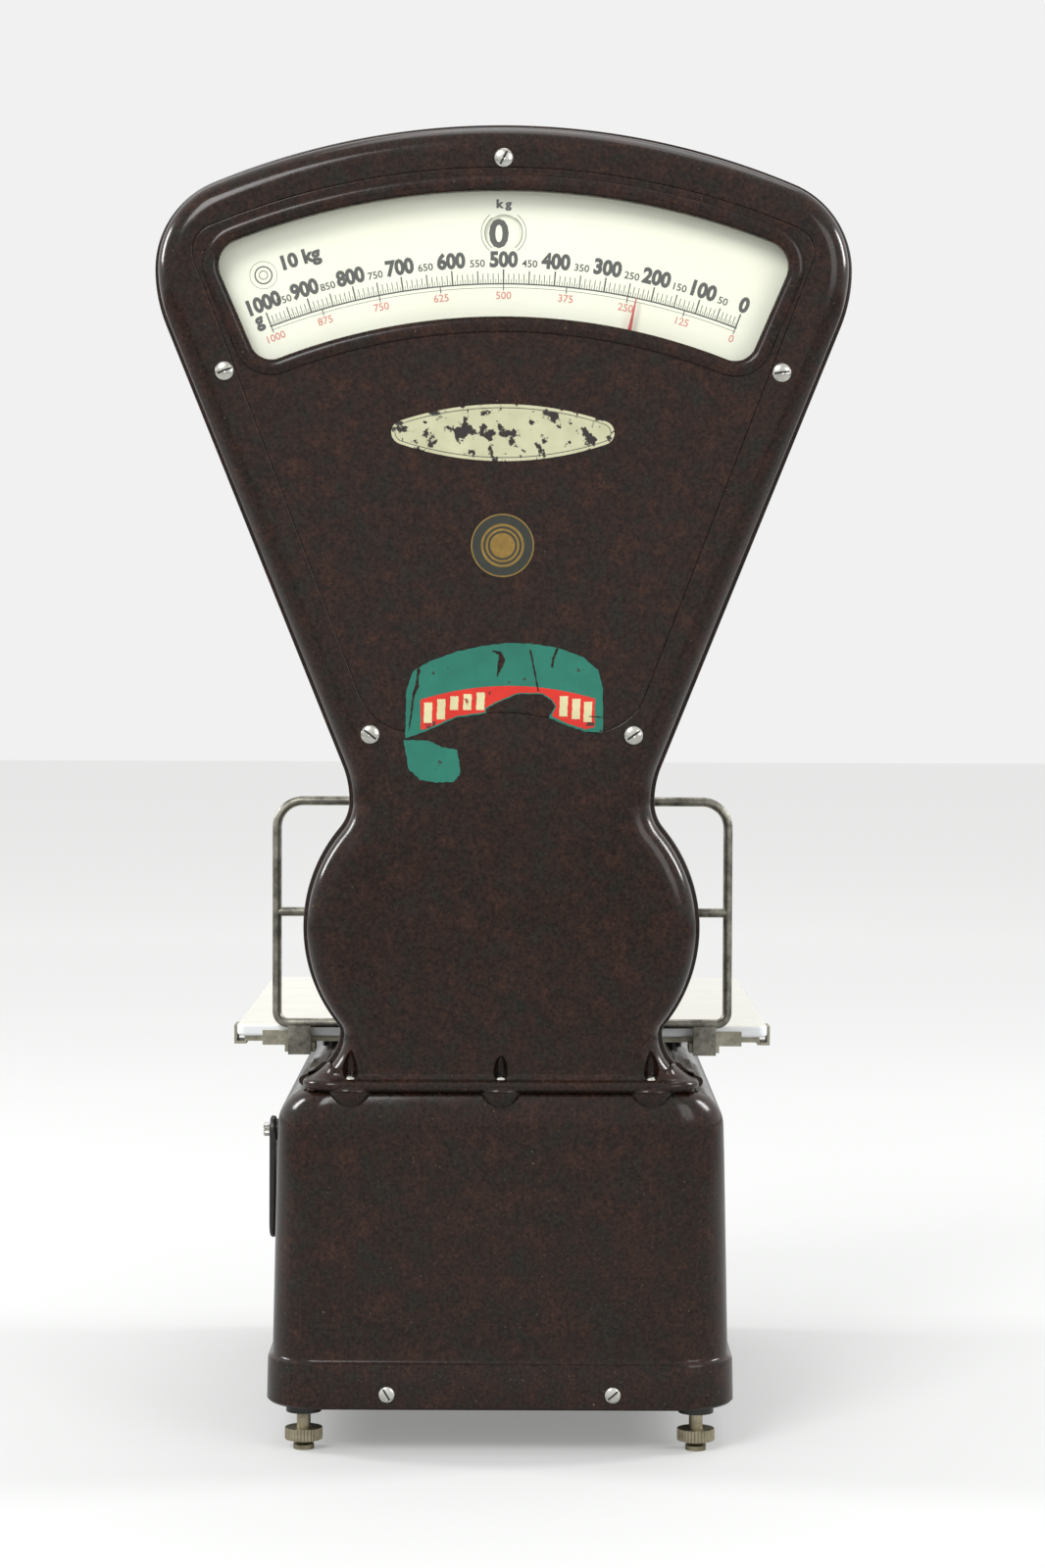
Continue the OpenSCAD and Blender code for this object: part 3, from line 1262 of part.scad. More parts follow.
// Spur wheel with its pitch circle at half the shafts' distance, as a flat outline
function tooth_points(pitch_r, n, phase) = [for (i = [0:n - 1])
  for (q = [[-0.3, -1.25], [-0.13, 1], [0.13, 1], [0.3, -1.25]])
    let (m = 2 * pitch_r / n, r = pitch_r + q[1] * m, a = phase + (i + q[0]) * 360 / n)
      [r * cos(a), r * sin(a)]];
module number_wheel(phase) {
  y0 = plate_y1 + 6;
  rotate([90, 0, 0]) translate([0, 0, -y0 - 6])
    linear_extrude(6) polygon(tooth_points(upright_x / 2, teeth, phase));
}
shaft_y0 = dial_y + dial_t + 1;
module number_countershaft() {
  color("#b0aea4") translate([-upright_x, 0, disc_z]) {
    rod_y(0, 0, plate_y1 - cross_t - 2, 2 * mid_y - plate_y1 + cross_t + 2, drive_r);
    number_wheel(0);
    translate([0, selector_y - bevel_r, 0]) rotate([-90, 0, 0]) bevel();
  }
}
module number_shaft() {
  color("#b0aea4") translate([0, 0, disc_z]) {
    rod_y(0, 0, shaft_y0, 2 * mid_y - shaft_y0, drive_r);
    number_wheel(180 + 180 / teeth);
  }
}
module number_disc() {
  difference() {
    rod_y(0, disc_z, shaft_y0, shaft_y0 + disc_t, disc_r);
    rod_y(0, disc_z, shaft_y0 - 1, shaft_y0 + disc_t + 1, drive_r + 0.01);
  }
}
module number_discs() {
  color("#f2f5e0") {
    number_disc();
    rear_side() number_disc();
  }
}

base_housing();
base_frame();
frame_columns();
skirt_screws();
levelling_foot_1();
levelling_foot_2();
levelling_foot_3();
levelling_foot_4();
foot_lock_nuts();
front_cover();
rear_cover();
front_panel();
rear_panel();
front_glass();
rear_glass();
glass_clips();
front_dial();
rear_dial();
name_plate();
round_badge();
paper_sticker();
cover_screws_front();
cover_screws_rear();
neck_screws();
head_frame();
shaft_bearings();
pan_plate();
pan_spider();
goods_rail();
rail_screws();
pan_posts();
post_sleeves();
carrier_bridge();
load_bearings();
check_link();
link_pins();
main_lever();
lever_knives();
fulcrum_stands();
pull_rod();
pull_band();
pendulum_shaft();
quadrant();
pendulum_bob();
front_pointer();
rear_pointer();
dashpot_cylinder();
dashpot_piston();
weight_hanger();
lifting_comb();
lift_weights();
selector_lever();
selector_screw();
selector_shaft();
selector_bracket();
upright_shaft();
number_countershaft();
number_shaft();
number_discs();
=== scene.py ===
"""Looks of a grocer's counter scale: a long moulded base under an opal goods plate, and a
fan-shaped dial head with a window on both faces. Sizes are in millimetres, as in the part's
source, and are turned to metres when a mesh is made."""
import math

import bmesh
import bpy
import numpy as np
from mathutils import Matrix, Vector
from mathutils.geometry import tessellate_polygon


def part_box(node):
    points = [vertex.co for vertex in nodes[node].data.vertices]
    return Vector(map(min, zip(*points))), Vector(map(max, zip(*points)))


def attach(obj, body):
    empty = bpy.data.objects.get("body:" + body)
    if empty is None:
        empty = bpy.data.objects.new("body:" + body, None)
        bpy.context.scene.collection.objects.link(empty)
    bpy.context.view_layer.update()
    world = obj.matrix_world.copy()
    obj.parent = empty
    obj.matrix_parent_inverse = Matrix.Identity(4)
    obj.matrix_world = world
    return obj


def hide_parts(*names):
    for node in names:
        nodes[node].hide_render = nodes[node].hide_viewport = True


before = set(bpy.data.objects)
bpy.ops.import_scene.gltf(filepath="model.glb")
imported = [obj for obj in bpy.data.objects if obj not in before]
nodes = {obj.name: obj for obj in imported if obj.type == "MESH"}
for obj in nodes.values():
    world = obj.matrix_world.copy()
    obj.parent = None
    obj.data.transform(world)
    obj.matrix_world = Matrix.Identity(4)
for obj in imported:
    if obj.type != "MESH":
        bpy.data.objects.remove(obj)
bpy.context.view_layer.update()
MM = 0.001
# Edges that turn by more than this stay sharp
CREASE = math.radians(32)

# Base: levels; half width, front, rear and corner radius at the foot; draft; skirt and wall
FOOT_Z, SKIRT_Z, TOP_Z = 23.5, 47.0, 184.0
BASE_HW, BASE_Y0, BASE_Y1, BASE_R, BASE_DRAFT = 117.0, -191.6, 152.4, 28.0, 3.0
BASE_MID_Y = (BASE_Y0 + BASE_Y1) / 2
SKIRT_FACE_Y = BASE_Y0 - 2.4
WALL = 4.0
# The base's rounded upper edge: height, depth at the sides and at the ends, and how much
# tighter the corners get
TOP_EDGE, TOP_EDGE_SIDE, TOP_EDGE_END, TOP_EDGE_CORNER = 20.0, 20.0, 6.0, 14.0

# Head: faces, middle plane, depth of each cover, the rim between them, edge and ledge
FACE_Y, BACK_Y = -183.6, -97.6
MID_Y = (FACE_Y + BACK_Y) / 2
FRONT_DEPTH, REAR_DEPTH = 20.0, 66.0
RIM = 1.2
EDGE_R = 12.0
PANEL_T, LEDGE_T, LEDGE_W = 4.0, 3.0, 6.0
FLANGE_HW, FLANGE_OUT, FLANGE_R = 102.0, 5.0, 18.0
NECK_XS = (-76.0, 0.0, 76.0)
NECK_SCREW_Y = FACE_Y + 2

# Dial: the pointers' shaft, the scale's line and its last angle, the planes of dial and number
# disc, the disc's axis and the height of the number that shows, the print's thickness
SHAFT_Z = 265.5
SCALE_R, SCALE_END = 326.0, 21.15
DIAL_Y = FACE_Y + 12
DISC_Y = DIAL_Y + 2
DISC_Z, NUMBER_R = 585.1, 32.0
KG_Z = DISC_Z + NUMBER_R
INK_T = 0.06

# Axis of the kilogram lever
SELECTOR_Y, SELECTOR_Z = -140.0, 158.5
# Screws: place across and up on the face, or across the skirt, and the turn of the slot
COVER_SCREWS = ((0, 653.1, 62), (139.7, 546.5, 8), (-139.7, 546.5, 20), (66.3, 364.3, 35),
                (-66.3, 364.3, -38))
SKIRT_SCREWS = ((-57, -59), (57, 40))


# Plane outlines. Every function gives an array of points, two columns, in millimetres.
def arc(cx, cz, r, a0, a1, n):
    """Points of a circle of radius r round (cx, cz) from angle a0 to a1, without the first."""
    a = np.radians(a0 + (a1 - a0) * np.arange(1, n + 1) / n)
    return np.stack([cx + r * np.cos(a), cz + r * np.sin(a)], 1)


def flip(points):
    """The same points at the other side of the middle, in the reverse order."""
    return points[::-1] * [-1, 1]


def joining_r(k, h, r):
    """Radius of an arc that touches a circle of radius r whose centre lies h along, k across."""
    return (k * k + h * h - r * r) / (2 * (r - k))


def head_path(d):
    """The head's outline, drawn in by d: up the left side, over the top arc and down the right.
    Each side is a chain of tangent arcs: shoulder, leaning side, waist, bulge, neck and flare."""
    apex, top_r, hw, shoulder = 671.0, 383.0, 175.2, 599.0
    lean, waist_hw, waist_z, waist_r = 21.94, 76.5, 330.0, 50.0
    bulge_hw, bulge_r, bulge_z, neck_hw, neck_z, flare = 99.9, 78.0, 265.5, 81.0, 212.0, 22.0
    end = 180 + min(78.0, math.degrees(math.asin(min(1, (neck_z - TOP_Z) / (flare + d)))))
    c = apex - top_r
    dz = shoulder - c
    corner = (top_r ** 2 - hw ** 2 - dz ** 2) / (2 * (top_r - hw))
    corner_a = math.degrees(math.atan2(dz, hw - corner))
    cs, sn = math.cos(math.radians(lean)), math.sin(math.radians(lean))
    hip = ((waist_hw + waist_r) * cs - waist_r - hw * cs + (shoulder - waist_z) * sn) / (1 - cs)
    bulge_x = bulge_hw - bulge_r
    low = joining_r(waist_hw - bulge_x, waist_z - bulge_z, bulge_r)
    low_a = math.degrees(math.atan2(waist_z - bulge_z, waist_hw + low - bulge_x))
    neck = joining_r(neck_hw - bulge_x, bulge_z - neck_z, bulge_r)
    neck_a = math.degrees(math.atan2(bulge_z - neck_z, neck_hw + neck - bulge_x))
    half = np.concatenate([
        arc(0, c, top_r - d, 90, corner_a, 36),
        arc(hw - corner, shoulder, corner - d, corner_a, 0, 24),
        arc(hw - hip, shoulder, hip - d, 0, -lean, 8),
        arc(waist_hw + waist_r, waist_z, waist_r + d, 180 - lean, 180, 10),
        arc(waist_hw + low, waist_z, low + d, 180, 180 + low_a, 16),
        arc(bulge_x, bulge_z, bulge_r - d, low_a, -neck_a, 36),
        arc(neck_hw + neck, neck_z, neck + d, 180 - neck_a, 180, 12),
        arc(neck_hw + flare, neck_z, flare + d, 180, end, 14)])
    half = np.concatenate([half, [[half[-1, 0], TOP_Z]]])
    return np.concatenate([flip(half), [[0, apex - d]], half])


def panel_loop(d):
    """The screwed panel's outline, drawn in by d: top arc round the shaft, two leaning sides,
    rounded feet and an arched lower edge."""
    r, lean, side, rt, rf, foot, arch = 383.0, 20.9, 25.0, 14.0, 30.0, 100.0, 103.0
    qa = lean + math.degrees(math.asin((side - rt) / (r - rt)))
    qx = (r - rt) * math.sin(math.radians(qa))
    qz = SHAFT_Z + (r - rt) * math.cos(math.radians(qa))
    fz = foot + rf
    fx = (side - rf + fz * math.sin(math.radians(lean))) / math.cos(math.radians(lean))
    arch_a = math.degrees(math.asin(fx / arch))
    arch_z = SHAFT_Z + foot - arch * math.cos(math.radians(arch_a))
    half = np.concatenate([
        arc(0, SHAFT_Z, r - d, 90, 90 - qa, 40),
        arc(qx, qz, rt - d, 90 - qa, -lean, 16),
        arc(fx, SHAFT_Z + fz, rf - d, -lean, -90, 16),
        arc(0, arch_z, arch + d, 90 - arch_a, 90, 20)])
    return np.concatenate([[[0, SHAFT_Z + r - d]], half, flip(half)[1:]])


def window_loop(d):
    """The window's outline, drawn in by d: two arcs round the shaft and two rounded ends."""
    ro, ri, a, rt, rb = 371.3, 308.8, 23.3, 13.0, 11.0
    qt = a - math.degrees(math.asin(rt / (ro - rt)))
    qb = a - math.degrees(math.asin(rb / (ri + rb)))
    st, ct = math.sin(math.radians(qt)), math.cos(math.radians(qt))
    sb, cb = math.sin(math.radians(qb)), math.cos(math.radians(qb))
    half = np.concatenate([
        arc(0, SHAFT_Z, ro - d, 90, 90 - qt, 36),
        arc((ro - rt) * st, SHAFT_Z + (ro - rt) * ct, rt - d, 90 - qt, -a, 14),
        arc((ri + rb) * sb, SHAFT_Z + (ri + rb) * cb, rb - d, -a, -90 - qb, 14),
        arc(0, SHAFT_Z, ri + d, 90 - qb, 90, 36)])
    return np.concatenate([[[0, SHAFT_Z + ro - d]], half, flip(half)[1:]])


def plan_loop(hx, y0, y1, r, n=14):
    """A rectangle with rounded corners, seen from above."""
    r = max(r, 1e-4)
    return np.concatenate([
        arc(hx - r, y1 - r, r, 90, 0, n), arc(hx - r, y0 + r, r, 0, -90, n),
        arc(-hx + r, y0 + r, r, -90, -180, n), arc(-hx + r, y1 - r, r, 180, 90, n)])


def upright(points, y):
    """Outline points set up in the plane at depth y."""
    return np.stack([points[:, 0], np.full(len(points), float(y)), points[:, 1]], 1)


def level(points, z):
    """Outline points laid out at height z."""
    return np.column_stack([points, np.full(len(points), float(z))])


# Surfaces. Each is a pair: an array of points and a list of faces.
def loft(rings, around=False):
    """Quads between each ring of points and the next one, closed round each ring or open."""
    rings = np.asarray(rings, float)
    m, n = rings.shape[:2]
    i, j = np.meshgrid(np.arange(m - 1), np.arange(n if around else n - 1), indexing="ij")
    a, b = i * n + j, i * n + (j + 1) % n
    return rings.reshape(-1, 3), np.stack([a, b, b + n, a + n], -1).reshape(-1, 4).tolist()


def fill(*loops):
    """Flat triangles inside the first loop and outside the others."""
    tris = tessellate_polygon([[Vector(p) for p in loop.tolist()] for loop in loops])
    return np.concatenate(loops), [list(t) for t in tris]


def closed_loft(rings):
    """A loft round closed rings with a flat face on its first and its last ring."""
    return [loft(rings, True), fill(np.asarray(rings[0])), fill(np.asarray(rings[-1]))]


def turned(profile, centre, axis="z", n=48):
    """A profile of (radius, height) carried in a circle round an axis through centre. Axis y
    points out of the front, to -Y, and axis x points to -X."""
    p = np.asarray(profile, float)
    a = 2 * np.pi * np.arange(n) / n
    u, v = p[:, :1] * np.cos(a), p[:, :1] * np.sin(a)
    w = np.repeat(p[:, 1:], n, 1)
    cols = {"z": (u, v, w), "y": (u, -w, v), "x": (-w, u, v)}[axis]
    return loft(np.stack(cols, -1) + np.asarray(centre, float), True)


def rod(r, low, high):
    """The profile of a plain round rod or bore, for turned."""
    return [(0, low), (r, low), (r, high), (0, high)]


def gathered(parts):
    """Several surfaces as one list of points and one of faces."""
    points, faces, start = [], [], 0
    for p, f in parts:
        points.append(p)
        faces += [[i + start for i in face] for face in f]
        start += len(p)
    return np.concatenate(points), faces


def behind(parts, middle=MID_Y):
    """The same surfaces on the rear: y becomes 2 middle - y."""
    return [(p * [1, -1, 1] + [0, 2 * middle, 0], f) for p, f in parts]


def as_mesh(name, parts):
    """A mesh in metres from surfaces in millimetres: points nearer than 0.002 mm merged, faces
    turned outward."""
    points, faces = gathered(parts)
    mesh = bpy.data.meshes.new(name)
    mesh.from_pydata((points * MM).tolist(), [], faces)
    bm = bmesh.new()
    bm.from_mesh(mesh)
    bmesh.ops.remove_doubles(bm, verts=bm.verts, dist=2e-6)
    bmesh.ops.recalc_face_normals(bm, faces=bm.faces)
    bm.to_mesh(mesh)
    bm.free()
    return mesh


def carved(parts, cutters):
    """Closed surfaces less closed cutters, by an exact boolean, back as one surface."""
    kept = [bpy.data.objects.new("carving", as_mesh("carving", p)) for p in (parts, cutters)]
    for o in kept:
        bpy.context.scene.collection.objects.link(o)
    cut = kept[0].modifiers.new("cut", "BOOLEAN")
    cut.operation, cut.solver, cut.object = "DIFFERENCE", "EXACT", kept[1]
    mesh = bpy.data.meshes.new_from_object(
        kept[0].evaluated_get(bpy.context.evaluated_depsgraph_get()))
    points = np.empty(len(mesh.vertices) * 3)
    mesh.vertices.foreach_get("co", points)
    faces = [list(p.vertices) for p in mesh.polygons]
    for o in kept:
        bpy.data.objects.remove(o)
    return points.reshape(-1, 3) / MM, faces


def piece(name, parts, body, finish, stands_for=()):
    """One finished object: its mesh, its material, and the body that carries it."""
    obj = bpy.data.objects.new(name, as_mesh(name, parts))
    bpy.context.scene.collection.objects.link(obj)
    obj.data.materials.append(finish)
    obj.data.shade_smooth()
    obj.data.set_sharp_from_angle(angle=CREASE)
    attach(obj, body)
    if stands_for:
        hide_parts(*stands_for)
    return obj


# Finishes
def linear(code):
    """An sRGB hex colour as linear red, green and blue with full opacity."""
    c = np.array([int(code[i:i + 2], 16) for i in (1, 3, 5)]) / 255
    c = np.where(c <= 0.04045, c / 12.92, ((c + 0.055) / 1.055) ** 2.4)
    return (*c.tolist(), 1.0)


def add(tree, kind, sockets=(), stops=(), **settings):
    """Adds a node with its settings and links, and gives its outputs. Sockets maps an input to a
    value or to an output, and stops are the positions and hex colours of a ramp."""
    n = tree.nodes.new(kind)
    for key, value in settings.items():
        setattr(n, key, value)
    for key, value in dict(sockets).items():
        if isinstance(value, bpy.types.NodeSocket):
            tree.links.new(value, n.inputs[key])
        else:
            n.inputs[key].default_value = value
    for _ in stops[2:]:  # a new ramp has two stops already
        n.color_ramp.elements.new(0.5)
    for i, (position, code) in enumerate(stops):
        n.color_ramp.elements[i].position = position
        n.color_ramp.elements[i].color = linear(code)
    return n.outputs


def begin(name, *patterns):
    """A new material and its node tree, and a noise on the object's coordinates for each of its
    patterns: the size of the features in millimetres, the detail and the roughness."""
    mat = bpy.data.materials.new(name)
    mat.use_nodes = True
    tree = mat.node_tree
    tree.nodes.clear()
    place = add(tree, "ShaderNodeTexCoord")["Object"]
    return mat, tree, *[add(tree, "ShaderNodeTexNoise", {
        "Vector": place, "Scale": 1 / MM / size, "Detail": detail, "Roughness": rough})["Fac"]
        for size, detail, rough in patterns]


def close(mat, tree, surface):
    """Ends a material with a shader of the given inputs, and gives the material back."""
    shader = add(tree, "ShaderNodeBsdfPrincipled", surface)
    add(tree, "ShaderNodeOutputMaterial", {"Surface": shader[0]})
    return mat


# Two ways to mix input 7 into input 6, by input 0, with the result at output 2
MULTIPLIED = {"data_type": "RGBA", "blend_type": "MULTIPLY"}
LAID_OVER = {"data_type": "RGBA", "blend_type": "MIX"}


def moulded_phenolic(name, dark, brown, green, gloss):
    """Phenolic moulding with wood-flour filler, pressed in polished steel moulds: nearly black
    brown, mottled with reddish and greenish flow marks, finely grained and still glossy. The
    filler is finer than a pixel, so its grain and flecks are drawn 1 to 2 mm coarse."""
    mat, tree, flow, filler, fibres, touch, ripple = begin(
        name, (13, 8, 0.72), (1.9, 5, 0.8), (1.2, 2, 0.5), (22, 5, 0.65), (2.6, 4, 0.6))
    clouds = add(tree, "ShaderNodeValToRGB", {"Fac": flow},
                 ((0.36, green), (0.50, dark), (0.64, brown)))["Color"]
    grain = add(tree, "ShaderNodeValToRGB", {"Fac": filler},
                ((0.36, "#4a4543"), (0.64, "#ffffff")))["Color"]
    base = add(tree, "ShaderNodeMix", {0: 0.9, 6: clouds, 7: grain}, **MULTIPLIED)[2]
    flecks = add(tree, "ShaderNodeMapRange", {
        "Value": fibres, "From Min": 0.735, "From Max": 0.77})["Result"]
    base = add(tree, "ShaderNodeMix", {0: flecks, 6: base, 7: linear("#7d6a58")}, **LAID_OVER)[2]
    handled = add(tree, "ShaderNodeMapRange", {
        "Value": touch, "From Min": 0.3, "From Max": 0.7,
        "To Min": gloss, "To Max": gloss + 0.1})["Result"]
    skin = add(tree, "ShaderNodeBump", {"Height": ripple, "Strength": 0.05, "Distance": 0.0003})[0]
    return close(mat, tree, {
        "Base Color": base, "Roughness": handled, "Normal": skin, "IOR": 1.55,
        "Specular IOR Level": 0.22})


phenolic = moulded_phenolic("moulded_phenolic", "#31211b", "#412a21", "#2b2821", 0.12)
phenolic_rear = moulded_phenolic("moulded_phenolic_rear", "#31221c", "#402b22", "#2c2822", 0.14)
pressed_panel = moulded_phenolic("pressed_panel", "#32211b", "#432a20", "#2b2721", 0.15)


def clear_glass():
    """Thin float glass over the dial: it hardly tints the card and carries a soft reflection."""
    mat, tree = begin("window_glass")
    return close(mat, tree, {
        "Base Color": linear("#f2f6f2"), "Roughness": 0.03, "IOR": 1.5, "Alpha": 0.05})


def dial_enamel():
    """Stove-enamelled sheet: warm greenish white, a little yellowed in clouds, with a low sheen."""
    mat, tree, clouds, dust = begin("dial_enamel", (60, 4, 0.6), (1.3, 2, 0.5))
    base = add(tree, "ShaderNodeValToRGB", {"Fac": clouds},
               ((0.30, "#f3f4de"), (0.70, "#f8f9e6")))["Color"]
    specks = add(tree, "ShaderNodeMapRange", {
        "Value": dust, "From Min": 0.76, "From Max": 0.80})["Result"]
    base = add(tree, "ShaderNodeMix", {0: specks, 6: base, 7: linear("#c9c3a2")}, **LAID_OVER)[2]
    return close(mat, tree, {"Base Color": base, "Roughness": 0.42})


def printing_ink(name, dark, pale):
    """Screen-printed ink, thin and matt, a little worn so that its strength varies."""
    mat, tree, wear = begin(name, (2.5, 4, 0.7))
    base = add(tree, "ShaderNodeValToRGB", {"Fac": wear}, ((0.35, dark), (0.75, pale)))["Color"]
    return close(mat, tree, {"Base Color": base, "Roughness": 0.55})


def opal_glass():
    """Opal plate glass: milk white right through and polished, with painted light: the sides are
    painted a paler bluish white as a painted highlight on the edge, and the upper face a darker
    cream as painted shade.
    """
    mat, tree, wiped = begin("opal_glass", (30, 4, 0.55))
    # Painted light by the surface's tilt: a paler bluish edge and a darker cream top
    normal = add(tree, "ShaderNodeNewGeometry")["Normal"]
    painted_light_by_tilt = add(tree, "ShaderNodeSeparateXYZ", {"Vector": normal})["Z"]
    base = add(tree, "ShaderNodeValToRGB", {"Fac": painted_light_by_tilt},
               ((0.35, "#f7fafb"), (0.9, "#dcd9ca")))["Color"]
    rough = add(tree, "ShaderNodeMapRange", {
        "Value": wiped, "To Min": 0.08, "To Max": 0.2})["Result"]
    return close(mat, tree, {
        "Base Color": base, "Roughness": rough, "Subsurface Weight": 0.1,
        "Subsurface Radius": (0.004, 0.004, 0.004)})


def bare_metal(name, dark, pale, rough, pits_mm=1.2, metallic=1.0, bump=0.25):
    """Turned, rolled or plated metal: cloudy with wear and handling, with fine pits where the
    plating or the rolled skin has given way, duller in the dark patches."""
    mat, tree, clouds, decay = begin(name, (9, 6, 0.68), (pits_mm, 3, 0.6))
    base = add(tree, "ShaderNodeValToRGB", {"Fac": clouds}, ((0.34, dark), (0.66, pale)))["Color"]
    pits = add(tree, "ShaderNodeMapRange", {
        "Value": decay, "From Min": 0.62, "From Max": 0.72})["Result"]
    shade = add(tree, "ShaderNodeValToRGB", {"Fac": pits},
                ((0.0, "#ffffff"), (1.0, "#6a6458")))["Color"]
    base = add(tree, "ShaderNodeMix", {0: 0.55, 6: base, 7: shade}, **MULTIPLIED)[2]
    worn = add(tree, "ShaderNodeMapRange", {
        "Value": clouds, "From Min": 0.3, "From Max": 0.7,
        "To Min": rough + 0.12, "To Max": rough})["Result"]
    dents = add(tree, "ShaderNodeBump", {
        "Height": pits, "Strength": bump, "Distance": 0.0003}, invert=True)[0]
    return close(mat, tree, {
        "Base Color": base, "Roughness": worn, "Metallic": metallic, "Normal": dents})


def chipped_paint(name, paint, below, chip_mm, amount, rough):
    """Thin paint or varnish that has flaked: islands of the dark ground show through it."""
    mat, tree, flaking, clouds = begin(name, (chip_mm, 7, 0.62), (12, 4, 0.55))
    chips = add(tree, "ShaderNodeMapRange", {
        "Value": flaking, "From Min": amount, "From Max": amount + 0.02})["Result"]
    tone = add(tree, "ShaderNodeValToRGB", {"Fac": clouds},
               ((0.3, paint[0]), (0.7, paint[1])))["Color"]
    base = add(tree, "ShaderNodeMix", {0: chips, 6: tone, 7: linear(below)}, **LAID_OVER)[2]
    edge = add(tree, "ShaderNodeBump", {
        "Height": chips, "Strength": 0.5, "Distance": 0.0002}, invert=True)[0]
    return close(mat, tree, {"Base Color": base, "Roughness": rough, "Normal": edge})


def plain(name, dark, pale, rough, size_mm=6.0):
    """A plain moulded or painted surface with a slight unevenness of tone and of sheen."""
    mat, tree, tone = begin(name, (size_mm, 5, 0.6))
    base = add(tree, "ShaderNodeValToRGB", {"Fac": tone}, ((0.3, dark), (0.7, pale)))["Color"]
    skin = add(tree, "ShaderNodeBump", {"Height": tone, "Strength": 0.08, "Distance": 0.0003})[0]
    return close(mat, tree, {"Base Color": base, "Roughness": rough, "Normal": skin})


glass = clear_glass()
dial_white = dial_enamel()
ink_black = printing_ink("black_print", "#1d1e19", "#302f29")
ink_grey = printing_ink("fine_grey_print", "#4c4d44", "#66675c")
ink_red = printing_ink("red_print", "#d2715f", "#df9482")
opal = opal_glass()
rail_nickel = bare_metal("dull_nickelled_rod", "#55534b", "#98958a", 0.38, 1.1)
plate_zinc = bare_metal("zinced_strip", "#8a8676", "#b5b1a0", 0.42, 1.6, 0.85)
screw_nickel = bare_metal("polished_nickel", "#b3b2aa", "#dddcd4", 0.16, 0.8, 1.0, 0.12)
bright_steel = bare_metal("ground_steel", "#8f8e88", "#b7b6b0", 0.26, 1.0)
foot_steel = bare_metal("yellowed_steel", "#857c66", "#bbb29a", 0.36, 1.0)
dull_brass = bare_metal("dull_brass", "#8f7238", "#b8985a", 0.34, 1.4)
cast_alloy = bare_metal("cast_alloy", "#8b8b89", "#a9a9a7", 0.5, 2.0, 1.0, 0.5)
cast_iron = plain("painted_iron", "#2a2927", "#3a3937", 0.55, 3.0)
black_enamel = plain("black_enamel", "#1a1918", "#252423", 0.3)
pointer_paint = plain("pointer_paint", "#a31d1c", "#c22a25", 0.38, 3.0)
dark_plastic = plain("moulded_plastic", "#1b1918", "#292624", 0.3, 4.0)
rubber = plain("rubber", "#161514", "#211f1e", 0.7, 2.0)
cream_paint = chipped_paint("cream_transfer", ("#b9b794", "#c9c7a6"), "#211815", 8.0, 0.545, 0.45)
ring_dark = plain("dark_green_varnish", "#21241d", "#2d3128", 0.35, 4.0)
ring_gold = plain("ochre_varnish", "#71581f", "#8c6e2c", 0.4, 3.0)
label_teal = chipped_paint("teal_paper", ("#0d6554", "#15735f"), "#2a201e", 6.0, 0.66, 0.6)
label_red = chipped_paint("red_paper", ("#c51c0d", "#d62a17"), "#33201c", 7.0, 0.62, 0.6)
label_cream = chipped_paint("cream_paper", ("#c9bf8e", "#ddd5a8"), "#8c3a2a", 5.0, 0.64, 0.5)


def dress(finish, names):
    """Gives carried-over nodes their finish."""
    for name in names.split():
        for s in nodes[name].material_slots:
            s.material = finish


dress(glass, "front_glass rear_glass")
dress(dial_white, "front_dial rear_dial number_discs")
dress(rail_nickel, "goods_rail rail_screws")
dress(plate_zinc, "pan_spider")
dress(screw_nickel, "neck_screws")
dress(foot_steel, "levelling_foot_1 levelling_foot_2 levelling_foot_3 levelling_foot_4")
dress(bright_steel, "glass_clips frame_columns shaft_bearings load_bearings check_link link_pins "
      "lever_knives fulcrum_stands pull_rod pull_band pendulum_shaft dashpot_cylinder "
      "dashpot_piston weight_hanger lifting_comb selector_shaft selector_bracket "
      "upright_shaft number_countershaft number_shaft selector_screw")
dress(black_enamel, "carrier_bridge pan_posts foot_lock_nuts")
dress(cast_iron, "base_frame main_lever pendulum_bob")
dress(cast_alloy, "head_frame")
dress(dull_brass, "quadrant lift_weights")
dress(pointer_paint, "front_pointer rear_pointer")
dress(cream_paint, "name_plate")
dress(ring_dark, "round_badge")
dress(rubber, "post_sleeves")


# Base housing
def base_ring(out, z):
    """The base's plan at height z, set out by a distance. Its sides draw in by 3 mm from the
    foot to 20 mm under the top."""
    rise = (z - FOOT_Z) / (TOP_Z - TOP_EDGE - FOOT_Z)
    d = BASE_DRAFT * min(max(rise, 0), 1) - out
    return level(plan_loop(BASE_HW - d, BASE_Y0 + d, BASE_Y1 - d, BASE_R - d), z)


def rounded_top(out, steps):
    """Rings of the rounded upper edge, quarter ellipses: at angle f a side is drawn in by
    20 (1 - cos f) at height 20 sin f, and the front and the rear by 6 (1 - cos f)."""
    f = np.radians(np.linspace(0, 90, steps))
    hw, y0, y1 = BASE_HW - BASE_DRAFT + out, BASE_Y0 + BASE_DRAFT - out, BASE_Y1 - BASE_DRAFT + out
    side, end = TOP_EDGE_SIDE + out, TOP_EDGE_END + out
    return [level(plan_loop(hw - side * a, y0 + end * a, y1 - end * a,
                            BASE_R + out - TOP_EDGE_CORNER * a), TOP_Z - TOP_EDGE + z)
            for a, z in zip(1 - np.cos(f), (TOP_EDGE + out) * np.sin(f))]


